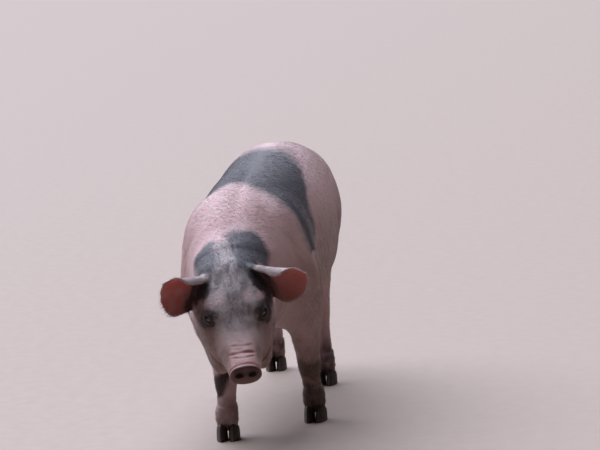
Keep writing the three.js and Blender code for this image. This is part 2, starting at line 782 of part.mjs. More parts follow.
const nodes = {};

// Region of space that a leg takes: outward of the midline, below a slanted plane, between front and back.
function legRegion(leg, parting, grow) {
  const s = leg.side;
  const depth = parting.back - parting.front + 2 * grow;
  const box = new THREE.BoxGeometry(400, depth, 600);
  box.translate(s * (parting.inner[0] - grow + 200), (parting.front + parting.back) / 2, 250);
  const run = parting.outer[0] - parting.inner[0];
  const rise = parting.outer[1] - parting.inner[1];
  const normal = [-rise * s, 0, run];
  const at = [parting.inner[0] * s, 0, parting.inner[1]];
  const region = solidOf(box).subtract(blockBeyond(shifted(at, normal, grow), normal));
  const fore = parting === FORE_PARTING;
  const rake = [0, fore ? 1 : -1, parting.rake];
  const start = [0, fore ? parting.back : parting.front, parting.inner[1]];
  return region.subtract(blockBeyond(shifted(start, rake, grow), rake));
}

let trunk = netSolid(bodyDistance, [-160, -360, 150], [150, 370, 480], CELLS.trunk);
trunk = keepBefore(trunk, NECK_PLANE);
for (const [name, leg] of Object.entries(LEGS)) {
  const parting = name.startsWith("fore") ? FORE_PARTING : HIND_PARTING;
  trunk = trunk.subtract(legRegion(leg, parting, GAP / 2));
}
trunk = largest(trunk);
nodes.trunk = trunk;

let neck = netSolid(bodyDistance, [-140, -440, 178], [120, -215, 440], CELLS.neck);
neck = keepBefore(keepBeyond(neck, NECK_PLANE), HEAD_PLANE);
for (const name of ["fore_left", "fore_right"]) {
  neck = neck.subtract(legRegion(LEGS[name], FORE_PARTING, GAP / 2));
}
nodes.neck = largest(neck);

let head = netSolid(bodyDistance, [-125, -590, 80], [115, -325, 372], CELLS.head);
head = largest(keepBeyond(head, HEAD_PLANE));
const faceAt = (t, z) => fromHead([0, t, z]).toArray();
const forward = headAxes.forward.toArray();
const snoutPlane = { at: faceAt(SNOUT_CUT, 0), normal: forward };
const cornerPlane = { at: faceAt(MOUTH.corner, 0), normal: forward };
const mouthPlane = {
  at: faceAt(SNOUT_CUT, MOUTH.front),
  normal: directionFromHead([0, MOUTH.fall, -1]).toArray(),
};
let snout = keepBeyond(head, snoutPlane);
for (const side of [1, -1]) snout = snout.subtract(nostrilSolid(side));
snout = keepBefore(snout, mouthPlane);
nodes.snout = largest(snout);
nodes.jaw = largest(keepBeyond(keepBeyond(head, cornerPlane), mouthPlane));
const wedge = blockBeyond(shifted(mouthPlane.at, mouthPlane.normal, -GAP / 2), mouthPlane.normal).intersect(
  blockBeyond(shifted(cornerPlane.at, cornerPlane.normal, -GAP / 2), cornerPlane.normal),
);
head = keepBefore(head, snoutPlane).subtract(wedge);
for (const [name, side] of [
  ["left", 1],
  ["right", -1],
]) {
  head = head.subtract(eyeSolid(side, GAP));
  nodes[`eye_${name}`] = eyeSolid(side);
}
nodes.head = largest(head);

const fleshForEars = grown(netSolid(bodyDistance, [-125, -590, 80], [115, -325, 372], CELLS.head), GAP);
const neckForEars = grown(netSolid(bodyDistance, [-140, -440, 178], [120, -215, 440], CELLS.neck), GAP);
for (const name of ["left", "right"]) {
  nodes[`ear_${name}`] = largest(earSolid(EARS[name]).subtract(fleshForEars).subtract(neckForEars));
}

const tail = taperedTube(tailPoints(), TAIL_RADII, 18, 6);
nodes.tail = largest(tail.subtract(grown(nodes.trunk, GAP)));

for (const [name, leg] of Object.entries(LEGS)) {
  const fore = name.startsWith("fore");
  const parting = fore ? FORE_PARTING : HIND_PARTING;
  const xs = [10 * leg.side, 150 * leg.side].sort((a, b) => a - b);
  const ys = leg.joints.map((j) => j[1]);
  const low = [xs[0], Math.min(...ys, leg.foot[1], parting.front + 50) - 95, 6];
  const high = [xs[1], Math.max(...ys, leg.foot[1]) + 95, 350];
  const knee = { at: [0, 0, parting.knee], normal: [0, 0, 1] };
  let upper = netSolid(bodyDistance, [low[0], low[1], parting.knee - 30], high, LEG_CELLS.upper);
  upper = keepBeyond(upper.intersect(legRegion(leg, parting, -GAP / 2)), knee);
  if (fore) upper = keepBefore(upper, NECK_PLANE);
  nodes[fore ? `${name}_arm` : `${name}_thigh`] = largest(upper);
  const top = [high[0], high[1], parting.knee + 24];
  let lower = netSolid(bodyDistance, low, top, LEG_CELLS.lower);
  lower = keepBefore(lower, knee);
  for (const way of [1, -1]) {
    const label = way > 0 ? "outer" : "inner";
    lower = lower.subtract(clawSolid(leg, way * leg.side, GAP));
    nodes[`${name}_claw_${label}`] = clawSolid(leg, way * leg.side);
    lower = lower.subtract(dewclawSolid(leg, way, GAP));
    nodes[`${name}_dewclaw_${label}`] = dewclawSolid(leg, way);
  }
  nodes[`${name}_shank`] = largest(lower);
}

// ---------------------------------------------------------------------------------------------
// Colours and the group
// ---------------------------------------------------------------------------------------------

const FINISHES = {
  hide: { color: 0xd9a7a0, roughness: 0.75, metalness: 0 },
  snout: { color: 0xc07a78, roughness: 0.6, metalness: 0 },
  ear: { color: 0xc98f8a, roughness: 0.7, metalness: 0 },
  eye: { color: 0x1e1410, roughness: 0.15, metalness: 0 },
  horn: { color: 0x3a322d, roughness: 0.6, metalness: 0 },
};
const finishOf = (name) => {
  if (name.includes("claw")) return FINISHES.horn;
  if (name.startsWith("eye")) return FINISHES.eye;
  if (name.startsWith("ear")) return FINISHES.ear;
  return name === "snout" ? FINISHES.snout : FINISHES.hide;
};

const pig = new THREE.Group();
pig.name = "pig";
for (const [name, solid] of Object.entries(nodes)) {
  const made = solid.getMesh();
  const geometry = geometryOf(Array.from(made.vertProperties), Array.from(made.triVerts));
  geometry.translate(...FRAME_SHIFT);
  const mesh = new THREE.Mesh(geometry, new THREE.MeshStandardMaterial(finishOf(name)));
  mesh.name = name;
  pig.add(mesh);
}

export default pig;
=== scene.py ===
"""A young pied pig, life-size, in a slow walk with its head low and turned a little to its left.

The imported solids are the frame. One skin stands for all its nodes of flesh and lies just inside them, a
coat of fine bristles grows on that skin, and the eyes and claws are pieces of their own. The model faces
-Y, its left is +X, and its soles stand on z = 0. The living form is measured in millimetres from the
body's own zero, under the belly, and its meshes are made in metres in the frame of the solids.
"""

import logging
import math
from dataclasses import astuple, dataclass, field
from enum import Enum
from typing import Callable, Iterable, Sequence

import bpy
import numpy as np
from mathutils import Matrix


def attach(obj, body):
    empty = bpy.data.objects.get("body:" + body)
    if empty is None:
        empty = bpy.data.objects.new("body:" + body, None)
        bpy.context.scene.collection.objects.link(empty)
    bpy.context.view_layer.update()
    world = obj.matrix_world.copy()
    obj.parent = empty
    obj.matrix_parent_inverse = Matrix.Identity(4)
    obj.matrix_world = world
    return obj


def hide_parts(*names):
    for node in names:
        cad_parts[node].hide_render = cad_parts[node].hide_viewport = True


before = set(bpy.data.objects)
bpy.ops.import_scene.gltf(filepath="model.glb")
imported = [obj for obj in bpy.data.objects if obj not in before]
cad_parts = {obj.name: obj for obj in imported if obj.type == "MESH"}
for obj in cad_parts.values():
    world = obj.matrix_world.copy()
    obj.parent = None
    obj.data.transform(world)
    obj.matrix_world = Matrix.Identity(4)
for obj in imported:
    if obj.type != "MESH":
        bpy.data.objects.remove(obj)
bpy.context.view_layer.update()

LOG = logging.getLogger("pig")
Array = np.ndarray
Triple = tuple[float, float, float]
Socket = bpy.types.NodeSocket

MM = 0.001
SHIFT = np.array([11.0, 99.0, 0.0])
FAR = 1.0e3
TINY = 1.0e-9
SEED = 20261
MAP_NAME = "OFBake"


# Small tools for numbers and distances


def ease(low: float, high: float, value: Array) -> Array:
    """Smooth step from 0 at low to 1 at high; high may be below low.

    Args:
        low: Value where the result is 0.
        high: Value where the result is 1.
        value: The values to map.

    Returns:
        Numbers from 0 to 1.
    """
    u = np.clip((value - low) / (high - low), 0.0, 1.0)
    return u * u * (3.0 - 2.0 * u)


def bell(value: Array, width: float) -> Array:
    """A smooth hump of height 1 at 0 that is nearly gone at twice its width."""
    return np.exp(-((value / width) ** 2))


def unit(vectors: Array) -> Array:
    """Vectors of length 1 along the given ones, over the last axis."""
    return vectors / np.maximum(np.linalg.norm(vectors, axis=-1, keepdims=True), TINY)


def fillet(a: Array, b: Array, size: float) -> Array:
    """Union of two distances with a fillet of the given size."""
    h = np.maximum(size - np.abs(a - b), 0.0) / size
    return np.minimum(a, b) - h * h * size / 4.0


def carve(a: Array, b: Array, size: float) -> Array:
    """Distance a with the shape of distance b cut out of it, its rim rounded by size."""
    return -fillet(-a, b, size)


def round_distance(
    x: Array, y: Array, z: Array, rx: Array, ry: Array, rz: Array, power: Array | float = 2.0
) -> Array:
    """About the distance to a superellipsoid.

    Args:
        x: Place across, from its centre.
        y: Place along.
        z: Place up.
        rx: Radius across.
        ry: Radius along.
        rz: Radius up.
        power: Squareness, 2 for an ellipsoid.

    Returns:
        Distances, negative inside.
    """
    ax, ay, az = np.abs(x / rx), np.abs(y / ry), np.abs(z / rz)
    if isinstance(power, float):
        g = np.sqrt(ax * ax + ay * ay + az * az)
    else:
        g = (ax**power + ay**power + az**power) ** (1.0 / power)
    slope = np.sqrt((ax / rx) ** 2 + (ay / ry) ** 2 + (az / rz) ** 2)
    return np.where(slope < TINY, -np.minimum(rx, rz), (g - 1.0) * g / np.maximum(slope, TINY))


def inside_box(p: Array, low: Sequence[float], high: Sequence[float]) -> Array:
    """Mask of the points that lie in an upright box."""
    return ((p > np.array(low)) & (p < np.array(high))).all(axis=1)


def only(mask: Array, p: Array, measure: Callable[[Array], Array]) -> Array:
    """Distances of the masked points by measure, and a far distance for the others.

    Args:
        mask: Which points are measured.
        p: Points.
        measure: Gives the distances of points.

    Returns:
        One distance for each point.
    """
    out = np.full(len(p), FAR)
    if mask.any():
        out[mask] = measure(p[mask])
    return out


Measures = dict[str, Array]
Span = tuple[str, float, float]


@dataclass(frozen=True)
class Touch:
    """A local effect on the skin, strongest on its humps and fading over its spans.

    A hump is the name of a measure, its middle and its width. A span is the name of a measure, where the
    effect is gone and where it is full. The measures named in `by` multiply the effect as they are.
    """

    amount: float
    humps: tuple[Span, ...] = ()
    spans: tuple[Span, ...] = ()
    by: tuple[str, ...] = ()

    def at(self, m: Measures) -> Array:
        """Strength of the effect at the measured points.

        Args:
            m: Measures by name, one value for each point.

        Returns:
            The amount where the effect is full, and less elsewhere.
        """
        out = self.amount
        for name, middle, width in self.humps:
            out = out * bell(m[name] - middle, width)
        for name, gone, full in self.spans:
            out = out * ease(gone, full, m[name])
        for name in self.by:
            out = out * m[name]
        return out


def summed(touches: Iterable[Touch], m: Measures) -> Array:
    """Sum of several effects at the measured points."""
    return sum(touch.at(m) for touch in touches)


class Table:
    """Smooth curves through the rows of a table, one curve for each column after the first."""

    def __init__(self, rows: Sequence[Sequence[float]], step: float = 0.5) -> None:
        """Lays the curves out densely.

        Args:
            rows: The table; the first column is the place.
            step: Spacing of the dense places.
        """
        data = np.array(rows, float)
        place = data[:, 0]
        rows_at = np.arange(len(place))
        low, high = np.maximum(rows_at - 1, 0), np.minimum(rows_at + 1, len(place) - 1)
        slopes = (data[high] - data[low]) / (place[high] - place[low])[:, None]
        self.places = np.append(np.arange(place[0], place[-1], step), place[-1])
        i = np.clip(np.searchsorted(place, self.places, side="right") - 1, 0, len(place) - 2)
        span = (place[i + 1] - place[i])[:, None]
        u = (self.places - place[i])[:, None] / span
        v = 1.0 - u
        self.values = data[i] * (1.0 + 2.0 * u) * v * v + data[i + 1] * u * u * (3.0 - 2.0 * u)
        self.values += slopes[i] * span * u * v * v - slopes[i + 1] * span * u * u * v

    def at(self, place: Array, column: int) -> Array:
        """Value of one column at the given places; beyond the ends it stays as at the end."""
        return np.interp(place, self.places, self.values[:, column])


def curve_through(points: Array, steps: int) -> Array:
    """Points along a centripetal curve through the given ones.

    Args:
        points: One row for each point on the way.
        steps: Parts that each stretch is cut into.

    Returns:
        The dense points, one row each.
    """
    ends = np.vstack([2 * points[0] - points[1], points, 2 * points[-1] - points[-2]])
    out = []
    for k in range(len(points) - 1):
        a, b, c, d = ends[k : k + 4]
        da, db, dc = (max(float(np.sum((q - p) ** 2)) ** 0.25, 1e-4) for p, q in ((a, b), (b, c), (c, d)))
        start = ((b - a) / da - (c - a) / (da + db) + (c - b) / db) * db
        end = ((c - b) / db - (d - b) / (db + dc) + (d - c) / dc) * db
        u = (np.arange(steps) / steps)[:, None]
        square, cube = 3 * (c - b) - 2 * start - end, 2 * (b - c) + start + end
        out.append(b + start * u + square * u**2 + cube * u**3)
    return np.vstack([*out, points[-1:]])


class Lattice:
    """Smooth random values over space that repeat far apart."""

    def __init__(self, seed: int, side: int = 32) -> None:
        """Draws the values.

        Args:
            seed: Number that fixes them.
            side: Values along each side before they repeat.
        """
        self.side = side
        self.values = np.random.default_rng(seed).random((side, side, side))

    def at(self, p: Array, size: float | Array) -> Array:
        """Values from -1 to 1 at points.

        Args:
            p: Points.
            size: Size of the features in millimetres.

        Returns:
            One value for each point.
        """
        q = p / size
        cell = np.floor(q).astype(int)
        f = q - cell
        f = f * f * (3.0 - 2.0 * f)
        total = np.zeros(len(p))
        for corner in range(8):
            bits = np.array([(corner >> axis) & 1 for axis in range(3)])
            weight = np.prod(np.where(bits, f, 1.0 - f), axis=1)
            i, j, k = ((cell + bits) % self.side).T
            total += weight * self.values[i, j, k]
        return total * 2.0 - 1.0


# The living form as distances


@dataclass(frozen=True)
class Mass:
    """A rounded mass of muscle, on both sides unless its centre is on the midline."""

    at: Triple
    radii: Triple
    lean: float = 0.0
    sway: float = 0.0

    def distance(self, p: Array, side: int = 1) -> Array:
        """Distances of points to the mass on one side of the body.

        Args:
            p: Points.
            side: 1 for the left, -1 for the right.

        Returns:
            Distances, negative inside.
        """
        x, y, z = (p - np.array([self.at[0] * side + self.sway, self.at[1], self.at[2]])).T
        c, s = math.cos(self.lean), math.sin(self.lean)
        return round_distance(x, y * c + z * s, z * c - y * s, *self.radii)


@dataclass
class Loft:
    """A stretched body with superelliptical sections and round caps at both ends.

    Each row holds a place along, then the section's top, bottom, half width, squareness and sway.
    """

    rows: Sequence[Sequence[float]]
    widest: float
    caps: tuple[float, float]
    sways: bool = False
    table: Table = field(init=False)

    def __post_init__(self) -> None:
        """Lays out the table of sections."""
        self.table = Table(self.rows)

    def distance(self, x: Array, t: Array, z: Array) -> Array:
        """Distances of points to the body.

        Args:
            x: Places across.
            t: Places along.
            z: Places up.

        Returns:
            Distances, negative inside.
        """
        first, last = self.rows[0][0], self.rows[-1][0]
        top, bottom, half, power = (self.table.at(t, column) for column in range(1, 5))
        sway = self.table.at(t, 5) if self.sways else 0.0
        beyond = np.where(t < first, first - t, np.maximum(t - last, 0.0))
        cap = np.where(t < first, self.caps[0], self.caps[1])
        middle = bottom + (top - bottom) * self.widest
        reach = np.where(z > middle, top - middle, middle - bottom)
        return round_distance(x - sway, beyond, z - middle, half, cap, reach, power)


@dataclass
class TrunkForm:
    """Neck, chest, belly and rump, with the masses that stand out from them."""

    coat: float = 1.7
    loft: Loft = field(
        default_factory=lambda: Loft(
            rows=(
                (-405, 302, 218, 46, 2.0, -22), (-365, 331, 206, 62, 2.0, -22),
                (-320, 365, 196, 77, 2.1, -21), (-265, 396, 185, 91, 2.2, -19),
                (-200, 418, 178, 100, 2.3, -16), (-120, 430, 174, 106, 2.4, -11),
                (-20, 439, 178, 111, 2.4, -4), (80, 448, 190, 110, 2.4, -2),
                (165, 447, 212, 101, 2.4, -4), (235, 431, 242, 88, 2.3, -5),
                (290, 403, 268, 71, 2.2, -5), (318, 382, 286, 56, 2.1, -5),
            ),
            widest=0.43,
            caps=(26.0, 26.0),
            sways=True,
        )
    )  # fmt: skip
    brisket: Mass = Mass((0, -278, 232), (62, 56, 46), -0.4, -17)
    paired: tuple[Mass, ...] = (
        Mass((59, -192, 292), (49, 70, 96), 0.3, -17),
        Mass((60, -212, 230), (42, 52, 54), -0.2, -17),
        Mass((43, 232, 306), (56, 88, 106), 0.1, -5),
    )
    fillets: tuple[float, float] = (40.0, 30.0)

    def distance(self, p: Array) -> Array:
        """Distances of points to the trunk's skin.

        Args:
            p: Points.

        Returns:
            Distances, negative inside.
        """
        d = self.loft.distance(p[:, 0], p[:, 1], p[:, 2])
        d = fillet(d, self.brisket.distance(p), self.fillets[0])
        for side in (1, -1):
            for mass in self.paired:
                d = fillet(d, mass.distance(p, side), self.fillets[1])
        return d + self.coat


DISC_FRONT: Span = ("t", 119.5, 122.5)
DISC_WALL: Span = ("disc", 0.55, 0.9)
LIPS: tuple[Span, ...] = (("t", 40, 62), ("t", 116, 108), ("wide", 5, 14))
LID_SEEN: Span = ("out", -6, 0)
LID_ABOVE: tuple[Span, ...] = (LID_SEEN, ("rise", -1, 4))
LID_BELOW: tuple[Span, ...] = (LID_SEEN, ("rise", 4, -1))
HEAD_FOLDS = (
    Touch(1.3, (("t", 112.5, 2.0),), (DISC_WALL, ("z", -20, -6))),
    Touch(-1.2, (("t", 118.0, 3.0),), (DISC_WALL,)),
    Touch(-1.4, (("x", 0, 7.0), ("z", 20.0, 6.0)), (("t", 114, 119),)),
    Touch(0.9, (("disc", 0, 0.6),), (DISC_FRONT,)),
    Touch(0.8, (("x", 0, 1.3),), (DISC_FRONT, ("z", 4, -12))),
    Touch(-0.6, (("nostril", 8.0, 1.6),), (DISC_FRONT,)),
    Touch(1.9, (("mouth", 0, 1.4),), LIPS),
    Touch(-0.7, (("mouth", 4.5, 3.0),), LIPS),
    Touch(-0.4, (("mouth", -4.5, 3.0),), LIPS),
    Touch(1.6, (("jowl", 0, 6.0),), (("z", -20, -55),)),
    Touch(1.1, (("jowl", 26.0, 5.0),), (("z", -35, -60),)),
)
LID_FOLDS = (
    Touch(0.9, (("ring", 9.4, 1.2),), (*LID_ABOVE, ("run", -16, -2))),
    Touch(-0.4, (("ring", 12.0, 2.2),), (*LID_ABOVE, ("run", -16, -2))),
    Touch(0.3, (("ring", 14.5, 1.6),), LID_ABOVE),
    Touch(0.7, (("ring", 10.8, 1.4),), LID_BELOW),
    Touch(-0.4, (("ring", 13.2, 2.0),), LID_BELOW),
    Touch(0.9, (("tear", 0, 3.2),), (LID_SEEN,)),
)
# Folds across the bridge of the snout: place along, depth, width, reach to each side and bow.
SNOUT_FOLDS = (
    (110.0, 0.4, 1.6, 19.0, 0.004),
    (99.0, 0.9, 1.6, 21.0, 0.014),
    (88.5, 1.9, 2.2, 25.0, 0.008),
    (80.0, 0.4, 1.6, 16.0, -0.006),
    (73.0, 0.7, 1.8, 20.0, 0.008),
)


@dataclass
class HeadForm:
    """Skull, cheeks and muzzle in the head's own frame: left, forward and crown."""

    centre: Triple = (-3.5, -467.0, 245.0)
    pitch: float = 43.0
    yaw: float = 13.8
    roll: float = 2.0
    coat: float = 0.9
    loft: Loft = field(
        default_factory=lambda: Loft(
            rows=(
                (-128, 2, -70, 44, 2.0), (-100, 16, -86, 55, 2.1), (-70, 24, -94, 58, 2.2),
                (-40, 27, -96, 60, 2.2), (-10, 24, -91, 57, 2.2), (15, 18, -80, 51, 2.2),
                (42, 14.5, -65, 42, 2.2), (68, 16, -50, 34, 2.3), (92, 19.5, -34, 28, 2.3),
                (110, 22, -26, 26, 2.2), (119, 22, -22, 25, 2.2),
            ),
            widest=0.48,
            caps=(22.0, 5.0),
        )
    )  # fmt: skip
    cheek: Mass = Mass((33, -38, -46), (28, 46, 40))
    jowl: Mass = Mass((32.5, 24, -42), (21, 54, 23))
    brow: Mass = Mass((33.5, -9, 9), (12, 20, 9))
    eye_hollow: Mass = Mass((53, 27, 10), (13, 25, 15))
    chin: tuple[Triple, Triple] = ((20, -54, 26), (86, -33, 14))
    eye: Triple = (38.0, 2.0, 1.0)
    eye_radius: float = 10.2
    gaze: Triple = (0.76, 0.40, 0.50)
    slit: tuple[float, float, float] = (7.6, 3.5, 1.5)
    slit_run: Triple = (-0.45, 0.85, -0.10)
    nostril: Mass = Mass((10.2, 120, 5.5), (6.4, 9, 6.6), 0.2)
    fillets: tuple[float, ...] = (26.0, 16.0, 14.0)
    hollow_rim: float = 14.0
    chin_fillet: float = 10.0
    nostril_rim: float = 2.2
    axes: Array = field(init=False)

    def __post_init__(self) -> None:
        """Works out the head's axes and those of its left eye."""
        b, w, r = (math.radians(angle) for angle in (self.pitch, self.yaw, self.roll))
        level = np.array([math.sin(w), -math.cos(w), 0.0])
        across = np.array([math.cos(w), math.sin(w), 0.0])
        up = np.array([0.0, 0.0, 1.0])
        forward = level * math.cos(b) - up * math.sin(b)
        above = level * math.sin(b) + up * math.cos(b)
        left = across * math.cos(r) + above * math.sin(r)
        crown = above * math.cos(r) - across * math.sin(r)
        self.axes = np.array([left, forward, crown])
        out = unit(np.array(self.gaze))
        level_of_slit = np.array(self.slit_run)
        run = unit(level_of_slit - out * (level_of_slit @ out))
        self.eye_axes = np.array([run, unit(np.cross(run, out)), out])

    def local(self, p: Array) -> Array:
        """Body points in the head's frame."""
        return (p - np.array(self.centre)) @ self.axes.T

    def body(self, q: Array) -> Array:
        """Head points in the body's frame."""
        return q @ self.axes + np.array(self.centre)

    def eye_local(self, q: Array, side: int) -> Array:
        """Head points in the frame of one eye: along the slit, up across it, and out."""
        mirrored = q * np.array([side, 1.0, 1.0])
        return (mirrored - np.array(self.eye)) @ self.eye_axes.T

    def mouth_height(self, t: Array) -> Array:
        """Height of the line between the lips at a place along the head."""
        return -17.5 - 0.2 * (105.0 - t) - 2.2 * bell(t - 72.0, 16.0) + 2.5 * bell(t - 40.0, 9.0)

    def distance(self, q: Array) -> Array:
        """Distances of head points to the head's skin, lids and nostrils included.

        Args:
            q: Points in the head's frame.

        Returns:
            Distances, negative inside.
        """
        x, t, z = q.T
        d = self.loft.distance(x, t, z)
        for side in (1, -1):
            for mass, size in zip((self.cheek, self.jowl, self.brow), self.fillets):
                d = fillet(d, mass.distance(q, side), size)
            d = carve(d, self.eye_hollow.distance(q, side), self.hollow_rim)
        d = fillet(d, self.chin_distance(x, t, z), self.chin_fillet) + self.coat
        for side in (1, -1):
            d = carve(d, self.nostril.distance(q, side), self.nostril_rim)
            d = self.with_lids(d, self.eye_local(q, side))
        return d

    def chin_distance(self, x: Array, t: Array, z: Array) -> Array:
        """Distances to the chin, a cone with round ends on the midline.

        Args:
            x: Places across.
            t: Places along.
            z: Places up.

        Returns:
            Distances, negative inside.
        """
        (t0, z0, r0), (t1, z1, r1) = self.chin
        run, rise = t1 - t0, z1 - z0
        u = np.clip(((t - t0) * run + (z - z0) * rise) / (run**2 + rise**2), 0.0, 1.0)
        return np.sqrt(x**2 + (t - t0 - run * u) ** 2 + (z - z0 - rise * u) ** 2) - r0 - (r1 - r0) * u

    def with_lids(self, d: Array, e: Array) -> Array:
        """Adds one eye's lids to the distance and opens the slit between them.

        Args:
            d: Distances to the head.
            e: The same points in the eye's frame.

        Returns:
            Distances with the lids and the opening.
        """
        length, height, thick = self.slit
        run, rise, out = e.T
        reach = np.sqrt((e**2).sum(axis=1))
        upper = ease(-2.0, 3.0, rise)
        d = fillet(d, reach - self.eye_radius - thick - 0.6 * upper, 9.0)
        bow = 1.0 - 0.30 * (run / length) ** 2
        opening = (np.sqrt((run / length) ** 2 + (rise / (height * bow)) ** 2) - 1.0) * height
        opening = np.maximum(opening, (self.eye_radius - 2.2) - reach)
        return carve(d, np.maximum(opening, -out), 0.7)

    def creases(self, q: Array) -> Array:
        """How far folds, rims and wrinkles draw the head's skin in; negative swells it.

        Args:
            q: Points in the head's frame.

        Returns:
            Depths in millimetres.
        """
        x, t, z = q.T
        wide = np.abs(x)
        m = {
            "x": x, "wide": wide, "t": t, "z": z, "disc": np.hypot(x / 25.0, (z + 0.9) / 22.0),
            "nostril": np.hypot(wide - self.nostril.at[0], z - self.nostril.at[2]),
            "mouth": z - self.mouth_height(t), "jowl": t + 34.0 + 0.4 * (z + 40.0),
        }  # fmt: skip
        deep = summed(HEAD_FOLDS, m)
        for place, depth, width, reach, bow in SNOUT_FOLDS:
            line = t - place + bow * x * x + 0.8 * np.sin(x * 0.17 + place)
            uneven = 0.75 + 0.35 * np.sin(x * 0.21 + place * 1.7)
            fade = ease(-10.0, 6.0, z) * ease(1.0, 0.5, wide / reach) * uneven
            deep += fade * depth * (bell(line, width) - 0.55 * bell(line + 2.6 * width, 1.5 * width))
        for side in (1, -1):
            run, rise, out = self.eye_local(q, side).T
            ring, tear = np.hypot(run / 1.22, rise), np.hypot(run - 11.0, (rise + 3.0) * 1.6)
            deep += summed(LID_FOLDS, {"run": run, "rise": rise, "out": out, "ring": ring, "tear": tear})
        return deep


# An ear's sections: place along the rib, widths below and above it, cups below and above, thickness.
EAR_ROWS = (
    (-14, 22, 20, 30, 16, 6.5),
    (0, 32, 26, 36, 17, 5.2),
    (20, 46, 29.5, 50, 14, 3.6),
    (42, 54, 31, 62, 13, 2.9),
    (62, 50, 23, 76, 16, 2.5),
    (78, 35, 9, 88, 28, 2.2),
    (88, 13, 2.5, 95, 40, 1.9),
)


@dataclass
class EarForm:
    """A cupped leaf with its upper edge rolled forward, held out from the poll."""

    head: HeadForm
    root: Triple
    rib: Triple
    upper: Triple
    breadth: float = 1.0
    droop: float = 0.001
    length: float = 88.0
    coat: float = 0.5
    table: Table = field(init=False)

    def __post_init__(self) -> None:
        """Places the ear's axes in the body's frame."""
        self.table = Table(EAR_ROWS)
        self.side = 1 if self.root[0] > 0 else -1
        rib = unit(np.array(self.rib) @ self.head.axes)
        upper = np.array(self.upper) @ self.head.axes
        upper = unit(upper - rib * (upper @ rib))
        self.axes = np.array([rib, upper, -np.cross(rib, upper) * self.side])
        self.place = self.head.body(np.array(self.root))

    def sheet(self, p: Array) -> tuple[Array, Array, Array, Array]:
        """Body points on the ear's own sheet.

        Args:
            p: Points.

        Returns:
            Places along the rib, across it, off the sheet towards the back, and width share across.
        """
        a, b, c = ((p - self.place) @ self.axes.T).T
        above = b > 0
        cup = np.where(above, self.table.at(a, 4), self.table.at(a, 3))
        c = c + self.droop * a * a + cup
        across = np.arctan2(b, c) * cup
        width = np.where(above, self.table.at(a, 2), self.table.at(a, 1) * self.breadth)
        return a, across, np.hypot(b, c) - cup, np.abs(across) / width

    def distance(self, p: Array) -> Array:
        """Distances of points to the ear's skin.

        Args:
            p: Points.

        Returns:
            Distances, negative inside.
        """
        a, across, off, share = self.sheet(p)
        thick = self.table.at(a, 5) * (1.0 - 0.42 * np.clip(share, 0, 1.2) ** 3) - self.coat
        wobble = 1.3 * np.sin(a * 0.16 + self.side) * ease(0.6, 1.0, share)
        width = np.abs(across) / np.maximum(share, TINY)
        past_side = np.maximum(np.abs(across) - (width + wobble - thick), 0.0)
        past_end = np.maximum(np.maximum(a - (self.length - thick), self.table.places[0] - a), 0.0)
        return np.sqrt(off**2 + past_side**2 + past_end**2) - thick


@dataclass
class LimbForm:
    """One leg, from where it leaves the body to its two soft toes.

    Each joint holds its place across, along and up, then the limb's radii across and along.
    """

    side: int
    joints: Sequence[Sequence[float]]
    foot: tuple[float, float]
    splay: float
    coat: float = 0.9
    toe: tuple[float, float, float] = (13.0, 8.0, 1.35)
    apart: float = 10.6
    spur: Triple = (11.6, 20.3, 45.8)
    steps: int = 6

    def __post_init__(self) -> None:
        """Lays out the limb's axis."""
        data = np.array(self.joints, float)
        data[:, 0] *= self.side
        centre = curve_through(data[:, :3], self.steps)
        size = np.hstack([data[:, 3:], np.zeros((len(data), 1))])
        self.axis = np.hstack([centre, curve_through(size, self.steps)[:, :2]])
        low, high = centre.min(axis=0), centre.max(axis=0)
        self.box = (low - [92, 105, 60], high + [92, 105, 70])

    def centre_at(self, z: Array) -> tuple[Array, Array]:
        """Where the limb's axis passes a height, across and along.

        Args:
            z: Heights.

        Returns:
            Places across and places along.
        """
        order = np.argsort(self.axis[:, 2])
        axis = self.axis[order]
        return np.interp(z, axis[:, 2], axis[:, 0]), np.interp(z, axis[:, 2], axis[:, 1])

    def distance(self, p: Array) -> Array:
        """Distances of points to the limb's skin.

        Args:
            p: Points.

        Returns:
            Distances, negative inside.
        """
        best = np.full(len(p), FAR)
        for a, b in zip(self.axis[:-1], self.axis[1:]):
            d = b[:3] - a[:3]
            q = p - a[:3]
            u = np.clip(q @ d / (d @ d), 0.0, 1.0)
            away = q - u[:, None] * d
            across, along = a[3] + (b[3] - a[3]) * u, a[4] + (b[4] - a[4]) * u
            best = np.minimum(best, round_distance(*away.T, across, along, (across + along) / 2))
        return fillet(fillet(best, self.toes(p), 8.0), self.spur_bases(p), 7.0) + self.coat

    def toes(self, p: Array) -> Array:
        """Distances of points to the two soft toes above the claws.

        Args:
            p: Points.

        Returns:
            Distances, negative inside.
        """
        best = np.full(len(p), FAR)
        for way in (1, -1):
            top = np.array([(self.foot[0] + way * 5.0) * self.side, self.foot[1] + 4.0, 44.0])
            tip = np.array([(self.foot[0] + way * self.apart) * self.side, self.foot[1] + 1.0, 21.0])
            d = tip - top
            u = np.clip((p - top) @ d / (d @ d), 0.0, 1.0)
            away = p - top - u[:, None] * d
            radius = self.toe[0] + (self.toe[1] - self.toe[0]) * u
            best = np.minimum(best, round_distance(*away.T, radius, radius * self.toe[2], radius))
        web = Mass((self.foot[0], self.foot[1] + 8.0, 18.0), (8.0, 9.0, 13.5))
        return fillet(best, web.distance(p, self.side), 6.0)

    def spur_bases(self, p: Array) -> Array:
        """Distances of points to the soft bases of the two dewclaws.

        Args:
            p: Points.

        Returns:
            Distances, negative inside.
        """
        x, y = self.joints[-1][:2]
        best = np.full(len(p), FAR)
        for way in (1, -1):
            centre = (x + way * (self.spur[0] - 1.0), y + self.spur[1] - 4.5, self.spur[2] + 7.0)
            base = Mass(centre, (6.4, 7.4, 7.6))
            best = np.minimum(best, base.distance(p, self.side))
        return best


